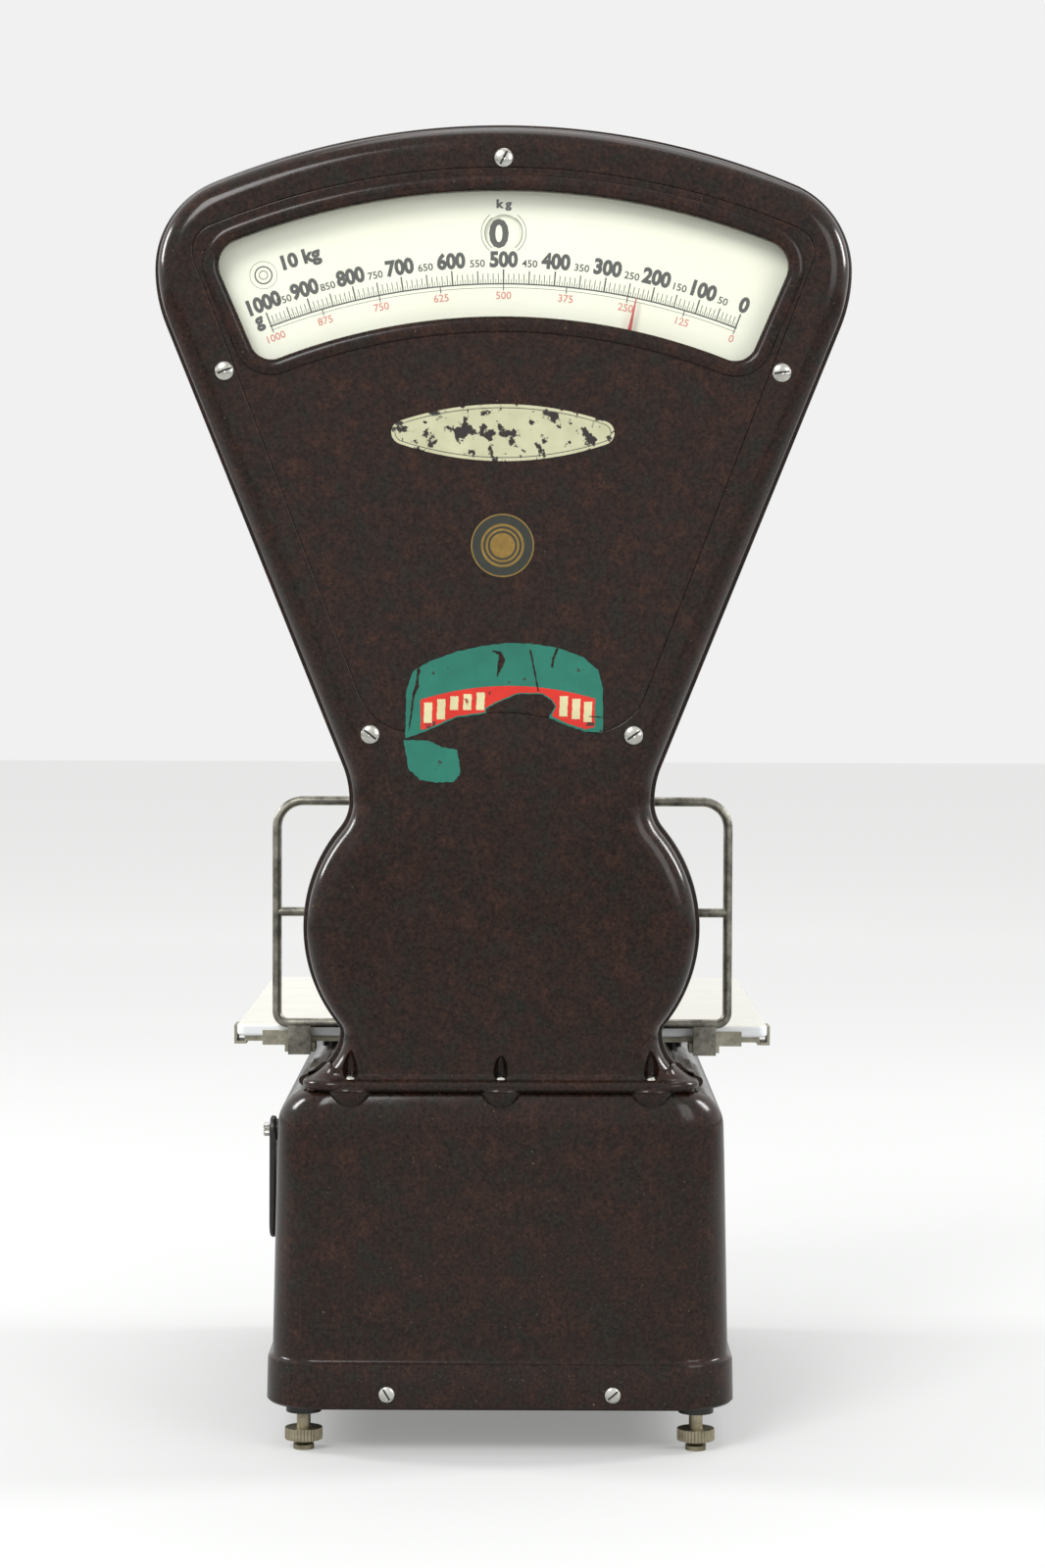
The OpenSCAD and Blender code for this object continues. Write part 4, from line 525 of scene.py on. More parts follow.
def base_shell():
    """Closed shell: up the outside from the skirt's foot over the rounded top, down inside. It
    is open under the head, at the four posts of the plate and at the kilogram lever's axis."""
    skirt = [(1.2, FOOT_Z), (2.4, FOOT_Z + 1.2), (2.4, SKIRT_Z - 1.6), (2.1, SKIRT_Z - 0.7),
             (1.3, SKIRT_Z - 0.1), (0.6, SKIRT_Z + 0.3), (0.12, SKIRT_Z + 1.2), (0, SKIRT_Z + 2.4)]
    outer = [base_ring(o, z) for o, z in skirt]
    outer += [base_ring(0, z) for z in (60, 90, 120, 150)]
    outer += rounded_top(0, 22)
    inner = [base_ring(-WALL, z) for z in (FOOT_Z, 60, 120)]
    inner += rounded_top(-WALL, 10)
    lower = [loft([outer[0], inner[0]], True)]
    skin = [loft(outer, True), fill(outer[-1]), loft(inner, True), fill(inner[-1])] + lower
    opening, post_xs, post_ys = plan_loop(65, -159.6, -119.6, 2, 4), (-92, 92), (-56, 116)
    cutters = closed_loft([level(opening, z) for z in (170, 190)])
    cutters += [turned(rod(8, 150, 190), (x, y, 0)) for x in post_xs for y in post_ys]
    cutters += [turned(rod(3.3, 80, 120), (0, SELECTOR_Y, SELECTOR_Z), "x", 24)]
    return carved(skin, cutters)


def ears(upper, y):
    """A swelling round each neck screw, 22 wide and 18.4 deep at the seam between head and base,
    8 tall above the seam or 16 below it. With t from 0 at the seam to 1 at its end, it thins
    like a bell, by ((1 + cos(pi t)) / 2) ** 0.7."""
    half_wide, half_deep = 11, 9.2
    reach, gap = (8, 0.12) if upper else (-16, -0.12)
    t = np.linspace(0, 1, 20)
    bell = np.clip((1 + np.cos(np.pi * t)) / 2, 0, 1) ** 0.7
    p, faces = turned([(0, 0)] + list(zip(bell, reach * t)), (0, 0, 0))
    return [(p * [half_wide, half_deep, 1] + [x, y, TOP_Z + gap], faces) for x in NECK_XS]


base_parts = [base_shell()]
for y in (NECK_SCREW_Y, 2 * MID_Y - NECK_SCREW_Y):
    base_parts += ears(False, y)
piece("base_shell", base_parts, "base", phenolic, ("base_housing",))


# Head covers
def cover_shell(d, depth):
    """Half of the head as one closed wall. Depth t runs back from the face. Its edge is a
    quarter circle: at angle f the outline is drawn in by R(1 - cos f) at depth R(1 - sin f)."""
    f = np.radians(np.linspace(0, 90, 15))
    steps = [(d + 0.7, depth), (d + 0.2, depth - 0.2), (d, depth - 0.7)]
    steps += [(d, EDGE_R + (depth - 0.7 - EDGE_R) * k) for k in (0.66, 0.33)]
    steps += list(zip(d + EDGE_R * (1 - np.cos(f)), EDGE_R * (1 - np.sin(f))))
    steps += [(d + EDGE_R + 0.4, 0)]
    outer = [upright(head_path(k), FACE_Y + t) for k, t in steps]
    inside = [(d + WALL + 1, PANEL_T + LEDGE_T), (d + WALL, EDGE_R), (d + WALL, depth)]
    inner = [upright(head_path(k), FACE_Y + t) for k, t in inside]
    lip = [(-0.75, 0), (-0.4, 0.03), (-0.18, 0.15), (-0.07, 0.4), (-0.07, PANEL_T),
           (LEDGE_W, PANEL_T), (LEDGE_W, PANEL_T + LEDGE_T)]
    mouth = [upright(panel_loop(k), FACE_Y + t) for k, t in lip]
    foot = [r[-1] for r in outer] + [r[0] for r in outer[::-1]]
    foot += [r[0] for r in inner[::-1]] + [r[-1] for r in inner]
    return [loft(outer), fill(outer[-1], mouth[0]), loft(mouth, True), fill(inner[0], mouth[-1]),
            loft(inner), loft([outer[0], inner[-1]]), fill(np.array(foot))]


def neck_flange(d, depth):
    """A moulded foot round the neck: a rounded nose, radius 2.7, under a hollow fillet, radius
    5.35, carried along the plan from one side of the joint round the front to the other. At the
    sides, where the neck flares, a parabola that leans further in takes the fillet's place. Its
    share is w = s s (3 - 2 s), where s is the sideways part of the outward direction."""
    hw, y0, joint = FLANGE_HW - d, FACE_Y - FLANGE_OUT, FACE_Y + depth
    a = np.radians(np.linspace(0, -90, 15))
    right = np.stack([hw - FLANGE_R + FLANGE_R * np.cos(a),
                      y0 + FLANGE_R + FLANGE_R * np.sin(a)], 1)
    sides = np.stack([np.cos(a), np.sin(a)], 1)
    along = np.linspace(hw - FLANGE_R, -(hw - FLANGE_R), 60)[1:-1]
    path = np.concatenate([[[hw, joint]], right, np.stack([along, np.full_like(along, y0)], 1),
                           right[::-1] * [-1, 1], [[-hw, joint]]])
    out = np.concatenate([[[1, 0]], sides, np.tile([0, -1.0], (len(along), 1)),
                          sides[::-1] * [-1, 1], [[-1, 0]]])
    side = np.abs(out[:, 0])
    w = (side * side * (3 - 2 * side))[:, None]
    nose_r, nose_z, hollow_r, hollow_o, hollow_z = 2.7, 186.9, 5.35, 0.053, 194.46
    nose = np.radians(np.linspace(-90, 70, 12))
    turn = np.radians(np.linspace(250, 180, 10))[1:]
    u = np.linspace(0, 1, 10)[1:]
    front_o, front_z = hollow_o + hollow_r * np.cos(turn), hollow_z + hollow_r * np.sin(turn)
    side_o, side_z = -1.78 - 10.2 * u, 189.4 + 3.7 * u + 3.4 * u * u
    inner_o, upper_z, foot_o = -8.2 - 5.6 * w, 195.2 + 1.6 * w, np.full_like(w, -2.8)
    at_seam = np.full_like(w, TOP_Z)
    nose_os = np.tile(-nose_r + nose_r * np.cos(nose), (len(w), 1))
    nose_zs = np.tile(nose_z + nose_r * np.sin(nose), (len(w), 1))
    nose_zs[:, 0] = TOP_Z + 0.2
    o = np.concatenate([inner_o, foot_o, nose_os, front_o + (side_o - front_o) * w, inner_o], 1)
    z = np.concatenate([at_seam, at_seam, nose_zs, front_z + (side_z - front_z) * w, upper_z], 1)
    return closed_loft(np.dstack([path[:, :1] + out[:, :1] * o, path[:, 1:] + out[:, 1:] * o, z]))


def screw_pockets():
    """Room for each neck screw: a round shaft that narrows to a point in an arch above it."""
    prof = [(0, 190.02), (4.2, 190.02), (4.2, 194.0), (4.0, 196.3), (3.5, 198.6), (2.7, 200.9),
            (1.6, 203.2), (0, 205.4)]
    return [turned(prof, (x, NECK_SCREW_Y, 0), "z", 40) for x in NECK_XS]


def cover(name, d, depth, rear, finish, node):
    """A cover: wall, flange and screw seats, each carved for the pockets, in one mesh."""
    cutters = screw_pockets()
    shells = [cover_shell(d, depth), neck_flange(d, depth)]
    parts = [carved(p, cutters) for p in shells + [[e] for e in ears(True, NECK_SCREW_Y)]]
    piece(name, behind(parts) if rear else parts, "base", finish, (node,))


cover("front_cover_wall", RIM, FRONT_DEPTH, False, phenolic, "front_cover")
cover("rear_cover_wall", -RIM, REAR_DEPTH, True, phenolic_rear, "rear_cover")


# Panels
def panel_plate():
    """The panel with a rounded edge, flat field and a raised rounded bead round the window. The
    bead's section is half an ellipse outside and a quarter turning down into the window."""
    e = np.radians(np.linspace(0, 90, 6))
    curve = list(zip(0.7 * (1 - np.cos(e)), 0.55 - 0.7 * np.sin(e)))
    edge = [(0, PANEL_T), (0, 0.55)] + curve[1:]
    outer = [upright(panel_loop(k), FACE_Y + t) for k, t in edge + [(1.6, -0.15), (3.2, 0)]]
    g = np.radians(np.linspace(0, 180, 25))
    bead = [(-8.4, 0)] + [(-4.4 - 3.6 * math.cos(x), -2.0 * math.sin(x)) for x in g]
    bead = [(k, t) for k, t in bead if not (k > -2.2 and t > -1.0)]
    bead += [(-0.5, -0.2), (-0.1, 0.5), (0, 1.4), (0, PANEL_T)]
    inner = [upright(window_loop(k), FACE_Y + t) for k, t in bead]
    return [loft(outer, True), fill(outer[-1], inner[0]), loft(inner, True),
            fill(outer[0], inner[-1])]


plate = panel_plate()
piece("front_panel_plate", plate, "base", pressed_panel, ("front_panel",))
piece("rear_panel_plate", behind(plate), "base", pressed_panel, ("rear_panel",))


# Screws of the covers and of the skirt
def domed_screw(r, crown, slot_w, floor, shank):
    """A domed head, its section a quarter ellipse, with a cut slot and a plain shank."""
    f = np.radians(np.linspace(0, 90, 12))
    prof = list(zip(r * np.sin(f), 0.25 + (crown - 0.25) * np.cos(f)))
    prof += [(r, -0.1), (r / 2, -0.3), (r / 2, -shank), (0, -shank)]
    w = slot_w / 2
    box = np.array([[-r - 1, -w], [r + 1, -w], [r + 1, w], [-r - 1, w]])
    slot = closed_loft([upright(box, y) for y in (-floor, -crown - 1)])
    return carved([turned(prof, (0, 0, 0), "y")], slot)


def set_in(part, y, places):
    """A screw, or the dirt in its slot, turned about its axis and set in each of its places."""
    p, faces = part
    parts = []
    for x, z, degrees in places:
        c, s = math.cos(math.radians(degrees)), math.sin(math.radians(degrees))
        q = np.stack([c * p[:, 0] - s * p[:, 2], p[:, 1], s * p[:, 0] + c * p[:, 2]], 1)
        parts.append((q + [x, y, z], faces))
    return parts


def cover_screws(shank):
    """The five screws of a cover: slotted domes with a turned centre mark."""
    mark = [turned([(0, 1.75), (0.8, 1.9), (1.3, 2.3), (1.3, 4), (0, 4)], (0, 0, 0), "y", 20)]
    head = carved([domed_screw(4.9, crown=2.2, slot_w=1.0, floor=0.9, shank=shank)], mark)
    return set_in(head, FACE_Y, COVER_SCREWS)


def slot_grime(r, slot_w, floor):
    """Painted shade in the bottom of a screw's slot: a thin dark bar as wide as the slot."""
    w = slot_w / 2 - 0.02
    box = np.array([[-r, -w], [r, -w], [r, w], [-r, w]])
    return gathered(closed_loft([upright(box, y) for y in (-floor - 0.1, -floor + 0.05)]))


piece("front_cover_screws", cover_screws(shank=32), "base", screw_nickel,
      ("cover_screws_front",))
piece("rear_cover_screws", behind(cover_screws(shank=24)), "base", screw_nickel,
      ("cover_screws_rear",))
low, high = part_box("skirt_screws")
skirt_z, skirt_r = (low[2] + high[2]) / 2 / MM, (high[2] - low[2]) / 2 / MM
skirt_places = [(x, skirt_z, turn) for x, turn in SKIRT_SCREWS]
skirt_head = domed_screw(skirt_r, crown=1.45, slot_w=0.95, floor=0.55, shank=14)
skirt_front = set_in(skirt_head, SKIRT_FACE_Y, skirt_places)
# Painted shade in the screw slots: thin dark bars on the slots' floors
cover_slot_shade = set_in(slot_grime(3.7, slot_w=1.0, floor=0.95), FACE_Y, COVER_SCREWS)
skirt_slot_shade = set_in(slot_grime(3.2, slot_w=0.95, floor=0.6), SKIRT_FACE_Y, skirt_places)
slot_shade_bars = cover_slot_shade + behind(cover_slot_shade) + skirt_slot_shade + behind(skirt_slot_shade, BASE_MID_Y)
piece("slot_grime", slot_shade_bars, "base", black_enamel)
piece("skirt_screw_heads", skirt_front + behind(skirt_front, BASE_MID_Y), "base",
      screw_nickel, ("skirt_screws",))


# Goods plate
def goods_plate():
    """The opal slab: one plan carried up its thickness, with both edges quarter circles."""
    hw, y0, y1, corner = 142, -76, 194, 5
    z0, z1, r = 199.8, 206.4, 1.7
    f = np.radians(np.linspace(0, 90, 6))
    steps = [(r * (1 - math.sin(x)), z0 + r * (1 - math.cos(x))) for x in f]
    steps += [(r * (1 - math.cos(x)), z1 - r * (1 - math.sin(x))) for x in f]
    steps = [(steps[0][0] + 0.5, z0)] + steps + [(steps[-1][0] + 0.5, z1)]
    return closed_loft([level(plan_loop(hw - k, y0 + k, y1 - k, corner - k * 0.6), z)
                        for k, z in steps])


piece("goods_plate", goods_plate(), "pan", opal, ("pan_plate",))


# Kilogram lever on the left side, seen edge on from the front
def paddle():
    """A moulded paddle: its outline in the plane of the base's side, drawn in towards both
    faces so that the edge is round, with a boss on its axis."""
    top_r, tip_r, reach = 7.2, 8.5, 56
    shape = np.concatenate([
        arc(SELECTOR_Y, SELECTOR_Z, top_r, -20, 200, 24),
        arc(SELECTOR_Y, SELECTOR_Z - reach + tip_r, tip_r, 188, 352, 24)])
    away = shape - shape.mean(0)
    away /= np.linalg.norm(away, axis=1, keepdims=True)
    x0, x1, r = -119.4, -116.1, 1.5
    steps = [(r, x1), (0.5 * r, x1 - 0.2), (0.1 * r, x1 - 0.8), (0, (x0 + x1) / 2),
             (0.1 * r, x0 + 0.8), (0.5 * r, x0 + 0.2), (r, x0)]
    rings = [np.column_stack([np.full(len(shape), x), shape - away * k]) for k, x in steps]
    boss = turned(rod(5.5, 114.6, 116.6), (0, SELECTOR_Y, SELECTOR_Z), "x", 40)
    return closed_loft(rings) + [boss]


piece("selector_paddle", paddle(), "selector", dark_plastic,
      ("selector_lever",))


def knurled_screw():
    """The lever's clamp screw: a wheel with 24 notches, radius 3.22 - 0.18 cos(24 a)."""
    notches, half_long, half_wide = 24, 4, 0.4
    a = 2 * np.pi * np.arange(6 * notches) / (6 * notches)
    rim = 3.22 - 0.18 * np.cos(notches * a)
    steps = [(-0.5, 119.3), (0, 119.7), (0, 122.3), (-0.5, 122.8)]
    rings = [np.stack([np.full_like(a, -x), SELECTOR_Y + (rim + k) * np.cos(a),
                       SELECTOR_Z + (rim + k) * np.sin(a)], 1) for k, x in steps]
    bar = np.array([[-1, -1], [1, -1], [1, 1], [-1, 1]]) * [half_long, half_wide]
    bar = bar + [SELECTOR_Y, SELECTOR_Z]
    slot = closed_loft([np.column_stack([np.full(4, -x), bar]) for x in (122.1, 124)])
    return [carved(closed_loft(rings), slot)]


piece("selector_clamp_screw", knurled_screw(), "selector", bright_steel,
      ("selector_screw",))


# Dial printing
def dial_angle(grams):
    """Angle of a mark from the vertical, to the right seen from the front, in degrees:
    4.51 m - 0.0121 m ** 3, where m is how many hundreds of grams it lies below 500."""
    m = (500 - np.asarray(grams, float)) / 100
    return 4.51 * m - 0.0121 * m ** 3


def outward(y, lift, rear):
    """Depth of a point lifted off the plane y of the front, or off its image on the rear."""
    return (2 * MID_Y - y) + lift if rear else y - lift


def on_arc(local, angle, radius, rear):
    """Points given across, up and out are set at an angle and a radius from the shaft, with
    their up along the radius. On the rear they read from behind."""
    a = math.radians(angle)
    up, right = np.array([math.sin(a), math.cos(a)]), np.array([math.cos(a), -math.sin(a)])
    across = -local[:, :1] if rear else local[:, :1]
    p = radius * up + across * right + local[:, 1:2] * up
    return np.stack([p[:, 0], outward(DIAL_Y, local[:, 2], rear), p[:, 1] + SHAFT_Z], 1)


def bars(grams, low, high, width, rear):
    """Strokes at each mark, from low to high over the scale's line, as thin closed boxes."""
    r0, r1 = SCALE_R + low, SCALE_R + high
    a = np.radians(dial_angle(grams))[:, None]
    corner = np.array([[-1, 0, 0], [1, 0, 0], [1, 1, 0], [-1, 1, 0],
                       [-1, 0, 1], [1, 0, 1], [1, 1, 1], [-1, 1, 1]], float)
    across, rad = corner[:, 0] * width / 2, r0 + (r1 - r0) * corner[:, 1]
    x = rad * np.sin(a) + across * np.cos(a)
    z = rad * np.cos(a) - across * np.sin(a) + SHAFT_Z
    y = outward(DIAL_Y, np.broadcast_to(corner[:, 2] * INK_T, x.shape), rear)
    box = np.array([[0, 1, 2, 3], [4, 7, 6, 5], [0, 4, 5, 1], [1, 5, 6, 2], [2, 6, 7, 3],
                    [3, 7, 4, 0]])
    faces = (np.arange(len(a))[:, None, None] * 8 + box).reshape(-1, 4)
    return np.stack([x, y, z], -1).reshape(-1, 3), faces.tolist()


def band(r0, r1, a0, a1, rear, n=160, centre=(0.0, SHAFT_Z)):
    """A thin ring segment round a centre, from angle a0 to a1 measured from the vertical."""
    a = np.radians(np.linspace(a0, a1, n))
    sides = [(r0, 0), (r1, 0), (r1, INK_T), (r0, INK_T)]
    return closed_loft(np.stack([np.stack([
        centre[0] + r * np.sin(a), np.full_like(a, outward(DIAL_Y, t, rear)),
        centre[1] + r * np.cos(a)], 1) for r, t in sides], 1))


glyphs = {}


def glyph(text, weight):
    """A numeral as a thin closed mesh in font units, made once for each text and weight."""
    key = (text, weight)
    if key not in glyphs:
        curve = bpy.data.curves.new("figures", "FONT")
        curve.body, curve.align_x, curve.resolution_u = text, "CENTER", 3
        curve.offset, curve.extrude = weight, 0.02
        obj = bpy.data.objects.new("figures", curve)
        bpy.context.scene.collection.objects.link(obj)
        mesh = bpy.data.meshes.new_from_object(
            obj.evaluated_get(bpy.context.evaluated_depsgraph_get()))
        bpy.data.objects.remove(obj)
        p = np.empty(len(mesh.vertices) * 3)
        mesh.vertices.foreach_get("co", p)
        glyphs[key] = p.reshape(-1, 3), [list(f.vertices) for f in mesh.polygons]
    return glyphs[key]


def figures(text, height, wide, weight=0.0, sample="600"):
    """A numeral whose digits are height tall, in the width at which the sample is wide across."""
    p, faces = glyph(text, weight)
    across = wide / np.ptp(glyph(sample, weight)[0][:, 0])
    up = height / (0.695 + 2 * weight)
    return np.stack([p[:, 0] * across, (p[:, 1] + weight) * up, (p[:, 2] + 0.02) * 1.5], 1), faces


def numeral(text, tall, wide, weight, angle, radius, rear, sample="600"):
    """A numeral set on the dial at an angle, its foot at a radius from the shaft."""
    p, faces = figures(text, tall, wide, weight, sample)
    return on_arc(p, angle, radius, rear), faces


def dial_print(rear):
    """The printed scale: graduations every 5, 10, 50 and 100 g, and the numerals on their arcs."""
    grams = np.arange(0, 1001, 5)
    hundreds = grams % 100 == 0
    fifties = (grams % 50 == 0) & ~hundreds
    tens = (grams % 10 == 0) & ~hundreds & ~fifties
    fives = grams % 10 == 5
    eighths = np.arange(0, 1001, 125)
    black = [bars(grams[hundreds], 0, 7.3, 0.75, rear), bars(grams[fifties], 0, 6.6, 0.62, rear),
             bars(eighths, -3.3, -0.2, 0.5, rear)]
    grey = [bars(grams[tens], 0, 5.2, 0.42, rear), bars(grams[fives], 0, 2.4, 0.3, rear)]
    black += band(SCALE_R - 0.35, SCALE_R + 0.35, -SCALE_END, SCALE_END, rear)
    grey += band(SCALE_R - 2.05, SCALE_R - 1.8, -SCALE_END, SCALE_END, rear)
    for g in range(0, 1001, 50):
        tall, wide, weight, r = (8.3, 14.4, 0.05, 8.2) if g % 100 == 0 else (3.7, 7.6, 0.015, 8.6)
        black.append(numeral(str(g), tall, wide, weight, dial_angle(g), SCALE_R + r, rear))
    red = [numeral(str(g), 3.85, 7.7, 0.012, dial_angle(g), SCALE_R - 7.7, rear) for g in eighths]
    for text, tall, wide, x, z in (("k g", 4.5, 7.7, 0, 629.4), ("g", 7.5, 4.6, -122, 569.5),
                                   ("10 kg", 7.7, 20.2, -102, 600.4)):
        turn = math.degrees(math.atan2(x, z - SHAFT_Z))
        black.append(numeral(text, tall, wide, 0.05, turn, math.hypot(x, z - SHAFT_Z), rear, text))
    for r in (9.5, 11.3):
        for side in (-90, 90):
            grey += band(r - 0.17, r + 0.17, side - 52, side + 52, rear, 40, (0, KG_Z))
    for r0, r1 in ((6.75, 6.95), (3.9, 4.6), (1.9, 2.3)):
        black += band(r0, r1, 0, 360, rear, 64, (-121, 595.4))
    return black, grey, red


for rear, side in ((False, "front"), (True, "rear")):
    black, grey, red = dial_print(rear)
    piece(f"{side}_dial_black_print", black, "base", ink_black)
    piece(f"{side}_dial_fine_print", grey, "base", ink_grey)
    piece(f"{side}_dial_red_print", red, "base", ink_red)


def disc_numbers(rear):
    """The kilogram numbers, round the disc so that number k shows after k tenths of a turn. A
    number stands half its height below its radius, and a little left in the opening."""
    tall, wide, left = 14.7, 29.4, 2.4
    parts = []
    for k in range(10):
        p, f = figures(str(k), tall, wide, 0.03)
        p = p - [left, tall / 2, 0]
        a = math.radians(-36 * k)
        c, s = math.cos(a), math.sin(a)
        x = -p[:, 0] if rear else p[:, 0]
        up = p[:, 1] + NUMBER_R
        parts.append((np.stack([c * x + s * up, outward(DISC_Y, p[:, 2], rear),
                                -s * x + c * up + DISC_Z], 1), f))
    return parts


piece("kilogram_numbers", disc_numbers(False) + disc_numbers(True), "number", ink_black)


# Name plate, badge and label: thin finishes on the face
def lens_loop(w, h, r, z):
    """A long lens: two equal shallow arcs joined by round ends."""
    k = w / 2 - r
    bow = (k * k + h * h / 4 - r * r) / (h - 2 * r)
    t = math.degrees(math.atan2(k, bow - h / 2))
    return np.concatenate([
        arc(0, z + h / 2 - bow, bow, 90 + t, 90 - t, 40), arc(k, z, r, 90 - t, t - 90, 14),
        arc(0, z - h / 2 + bow, bow, t - 90, -90 - t, 40), arc(-k, z, r, 270 - t, 90 + t, 14)])


def ribbon(outside, inside, y0, y1):
    """A closed flat ring between two outlines of equal count, from depth y0 out to y1."""
    rings = [upright(outside, y0), upright(outside, y1), upright(inside, y1), upright(inside, y0)]
    return [loft(rings + rings[:1], True)]


PLATE_Y = FACE_Y - 0.6
PLATE_Z, BADGE_Z = 516, 459.5
line = ribbon(lens_loop(108.6, 25.3, 4.7, PLATE_Z), lens_loop(107.8, 24.5, 4.4, PLATE_Z),
              FACE_Y - 0.1, PLATE_Y - 0.04)
piece("name_plate_line", line, "base",
      chipped_paint("dark_line", ("#2f3530", "#3a403b"), "#241a18", 3.0, 0.6, 0.5))
badge_rings = []
for r0, r1 in ((15.2, 15.9), (9.6, 10.9), (7.3, 8.5), (0.01, 6.3)):
    badge_rings += ribbon(arc(0, BADGE_Z, r1, 0, 360, 64), arc(0, BADGE_Z, r0, 0, 360, 64),
                          FACE_Y - 0.1, PLATE_Y - 0.05)
piece("badge_rings", badge_rings, "base", ring_gold)


def torn(points, low, high, ragged, seed):
    """A flat scrap of paper, from low to high over the face: a given outline subdivided, its
    edge ragged by a few tenths of a millimetre with two sine waves of unequal length."""
    p = np.asarray(points, float)
    t = np.linspace(0, 1, 9)[:-1, None]
    p = np.concatenate([a + (b - a) * t for a, b in zip(p, np.roll(p, -1, 0))])
    s = np.arange(len(p))
    p = p + ragged * np.stack([np.sin(2.1 * s + seed) + 0.6 * np.sin(5.3 * s),
                               np.cos(1.7 * s + seed) + 0.6 * np.sin(4.1 * s + 1)], 1)
    return closed_loft([upright(p, FACE_Y - low), upright(p, FACE_Y - high)])


label_outline = [
    (-48.6, 362.3), (-48.4, 375), (-48.2, 386.4), (-44.8, 396.3), (-36.5, 401.2), (-23, 406.1),
    (-10, 409), (2.7, 410.6), (15, 410.2), (27.6, 408.3), (40.4, 403.8), (48.4, 397),
    (50.7, 387.9), (50.9, 365.6), (41.9, 366.1), (33, 369), (23.8, 372.9), (23.8, 373.8),
    (26.8, 378.9), (24.6, 381.9), (20, 384.9), (8, 384.9), (-2.6, 380.4), (-7.9, 377.4),
    (-7.9, 375.1), (-23, 372.9), (-38, 366.1)]
label_parts = torn(label_outline, 0.02, 0.3, 0.12, 0.3)
label_scrap = [(-49.5, 361.6), (-37, 361.3), (-30, 358), (-22.6, 356.8), (-21.4, 350),
               (-20.8, 345), (-24, 340.6), (-33, 340.2), (-41, 341.5), (-47, 347)]
label_parts += torn(label_scrap, 0.02, 0.3, 0.15, 1.1)
piece("paper_label", label_parts, "base", label_teal, ("paper_sticker",))


def band_top(x):
    """Height of the printed band's upper edge: a parabola, 389 - 7 ((x - 4.2) / 45) ** 2."""
    return 389.0 - 7.0 * ((np.asarray(x, float) - 4.2) / 45) ** 2


xs = np.linspace(-41, 46.8, 20)
band_outline = np.concatenate([np.stack([xs, band_top(xs)], 1), [
    (46.6, 368.4), (42, 367.3), (33, 370.2), (25, 373.9), (27.4, 378.9), (25, 382.4),
    (20.2, 385.5), (7.9, 385.5), (-2.9, 381), (-8.5, 377.8), (-8.6, 375.8), (-23.2, 373.6),
    (-37.8, 367.2), (-40.8, 366.8)]])
piece("label_band", torn(band_outline, 0.28, 0.36, 0.1, 0.7), "base", label_red)
# Plain blocks on the band, three of them shorter, to stay above its torn edge
blocks = []
for x in (-37.2, -30.6, -24, -17.4, -10.8, 31, 37.3, 43.2):
    top = float(band_top(x))
    foot = max(top - 12.8, 376.8 if -27 < x < 0 else 0)
    blocks += torn([(x - 2.2, foot), (x - 1.9, top - 2.6), (x + 2.2, top - 2.6), (x + 1.9, foot)],
                   0.34, 0.42, 0.1, x)
piece("label_blocks", blocks, "base", label_cream)
cracks = [
    [(-6, 407), (-0.5, 406.2), (1.6, 402), (0.4, 399), (-2.6, 393.4), (-2.2, 400.5),
     (-1.5, 404.5)],
    [(13.7, 407.2), (14.6, 407), (16.4, 398), (18.6, 386.4), (17.9, 386.4), (15.6, 398)],
    [(27.2, 408), (28.4, 408), (26.2, 402.5), (25.6, 398.4), (24.6, 398.4), (25.2, 403)],
    [(-42.4, 398.6), (-40.9, 396.4), (-42.2, 393.2), (-41.8, 388.5), (-44, 384), (-45.9, 370),
     (-47.2, 365.6), (-46, 375), (-45, 385), (-43.4, 390)],
    [(44, 374), (50.4, 373.6), (50.4, 373.1), (44, 373.4)]]
torn_out = [part for k, c in enumerate(cracks) for part in torn(c, 0.34, 0.43, 0.12, k)]
piece("label_cracks", torn_out, "base", pressed_panel)


# Stage: floor, light and camera
floor_mesh = bpy.data.meshes.new("studio_floor")
floor_mesh.from_pydata([(-8, -6, 0), (8, -6, 0), (8, 10, 0), (-8, 10, 0)], [], [(0, 1, 2, 3)])
floor = bpy.data.objects.new("studio_floor", floor_mesh)
bpy.context.scene.collection.objects.link(floor)
# White paper floor: a matt ground that takes the shadow, brightened where the camera sees it,
# a little more with the distance
floor_mat, tree = begin("pale_floor")
place = add(tree, "ShaderNodeTexCoord")["Object"]
rays = add(tree, "ShaderNodeLightPath")
matt = add(tree, "ShaderNodeBsdfDiffuse", {"Color": linear("#b6b7b6")})
reach = add(tree, "ShaderNodeVectorMath", {0: place}, operation="LENGTH")
far = add(tree, "ShaderNodeMapRange", {"Value": reach["Value"], "From Min": 0.3, "From Max": 3.0,
                                       "To Min": 0.29, "To Max": 0.55})
lift = add(tree, "ShaderNodeMath", {0: rays["Is Camera Ray"], 1: far["Result"]},
           operation="MULTIPLY")
glow = add(tree, "ShaderNodeEmission", {"Color": linear("#f2f2f0"), "Strength": lift[0]})
both = add(tree, "ShaderNodeAddShader", {0: matt[0], 1: glow[0]})
add(tree, "ShaderNodeOutputMaterial", {"Surface": both[0]})
floor_mesh.materials.append(floor_mat)

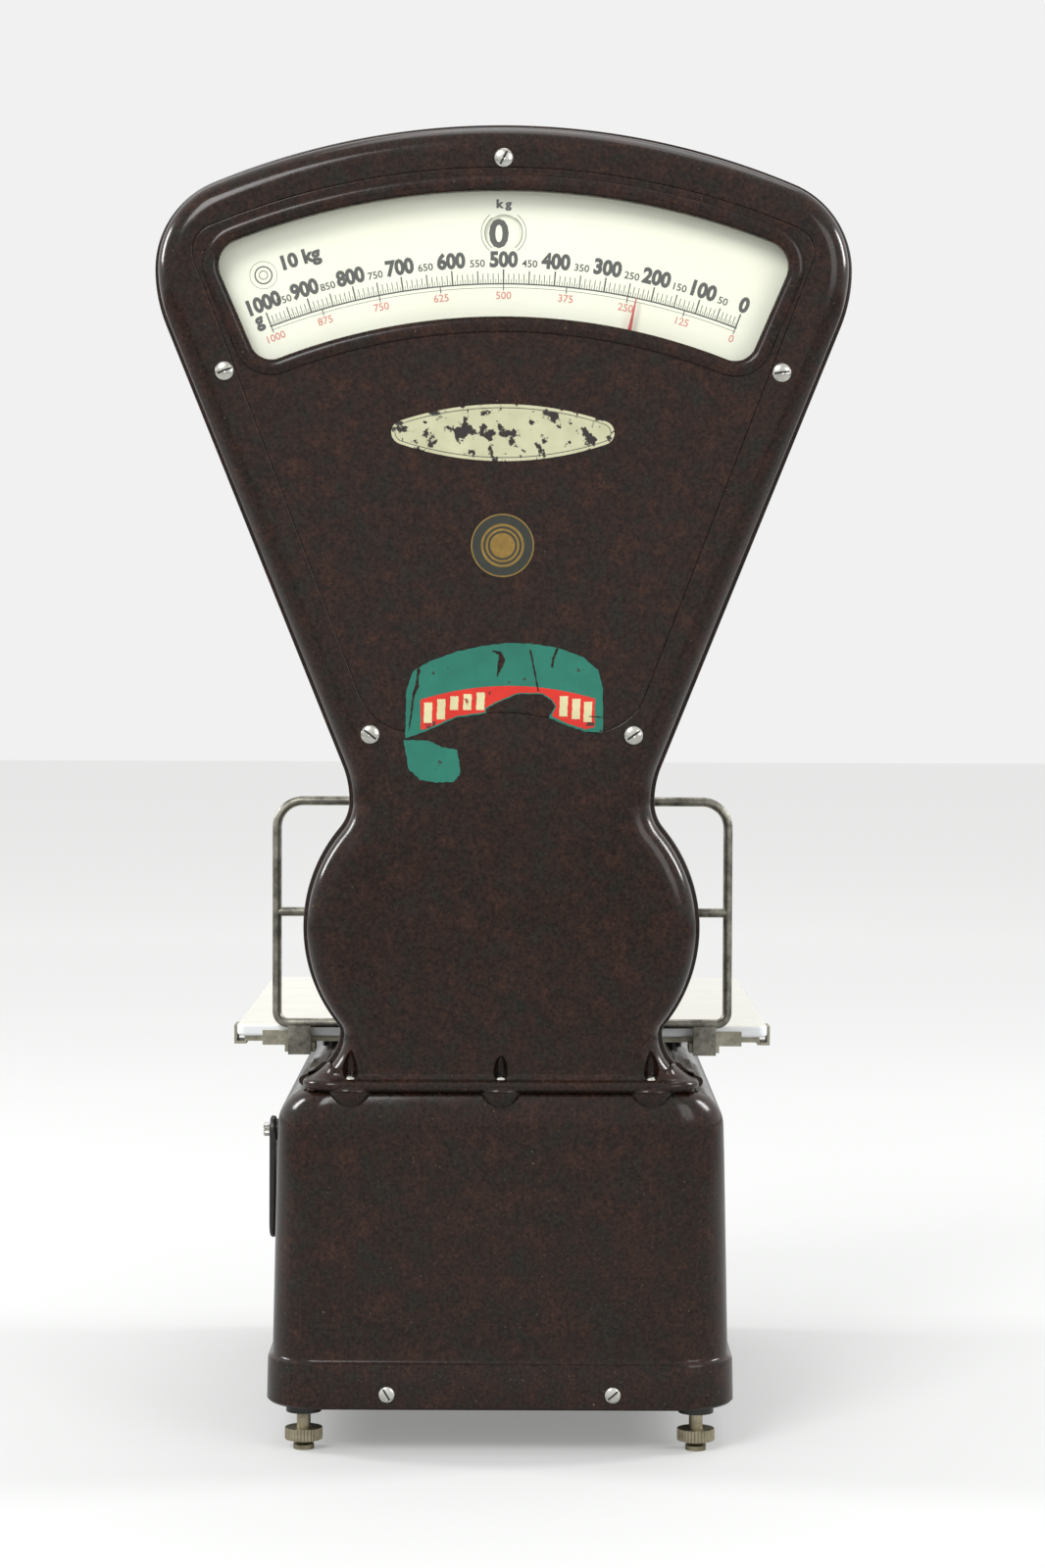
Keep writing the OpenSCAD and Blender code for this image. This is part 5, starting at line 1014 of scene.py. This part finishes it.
# Room light, and the white backdrop that the camera, gloss and glass see in its place
world = bpy.data.worlds.new("studio")
bpy.context.scene.world = world
world.use_nodes = True
tree = world.node_tree
tree.nodes.clear()
rays = add(tree, "ShaderNodeLightPath")
seen = rays["Is Camera Ray"]
for other in ("Is Glossy Ray", "Is Transmission Ray"):
    seen = add(tree, "ShaderNodeMath", {0: seen, 1: rays[other]}, operation="MAXIMUM")[0]
room = add(tree, "ShaderNodeBackground", {"Color": linear("#f4f5f6"), "Strength": 0.72})
backdrop = add(tree, "ShaderNodeBackground", {"Color": linear("#f1f1f1"), "Strength": 1.0})
mixed = add(tree, "ShaderNodeMixShader", {0: seen, 1: room[0], 2: backdrop[0]})
add(tree, "ShaderNodeOutputWorld", {"Surface": mixed[0]})


def soft_light(name, at, toward, width, height, watts):
    """A rectangular area light at a point, facing another point."""
    lamp = bpy.data.lights.new(name, "AREA")
    lamp.shape, lamp.size, lamp.size_y, lamp.energy = "RECTANGLE", width, height, watts
    obj = bpy.data.objects.new(name, lamp)
    obj.location = at
    obj.rotation_euler = (Vector(toward) - Vector(at)).to_track_quat("-Z", "Y").to_euler()
    bpy.context.scene.collection.objects.link(obj)


MIDDLE = (0, -0.1, 0.35)
soft_light("key_light", (-1.2, -2.4, 2.3), MIDDLE, 1.2, 1.2, 58)
soft_light("fill_light", (2.0, -2.3, 1.3), MIDDLE, 1.4, 1.4, 21)
soft_light("top_light", (0.2, 0.5, 2.4), (0, 0, 0.3), 1.3, 1.3, 11)
# Smaller lights at both sides, for the rounded edges
soft_light("left_window", (-1.9, 0.35, 1.2), MIDDLE, 0.4, 0.7, 24)
soft_light("right_window", (1.9, 0.35, 1.2), MIDDLE, 0.4, 0.7, 24)

# The photograph's view, square on and a little above the middle, from 1.8 m
lens = bpy.data.cameras.new("camera")
lens.sensor_width = 36
lens.lens = 83.25
lens.clip_end = 50
camera = bpy.data.objects.new("camera", lens)
camera.location = (0.0102, -2.0087, 0.4136)
camera.rotation_euler = (math.radians(90 - 2.3215), math.radians(-0.2), 0)
bpy.context.scene.collection.objects.link(camera)
bpy.context.scene.camera = camera
bpy.context.scene.view_settings.view_transform = "Standard"
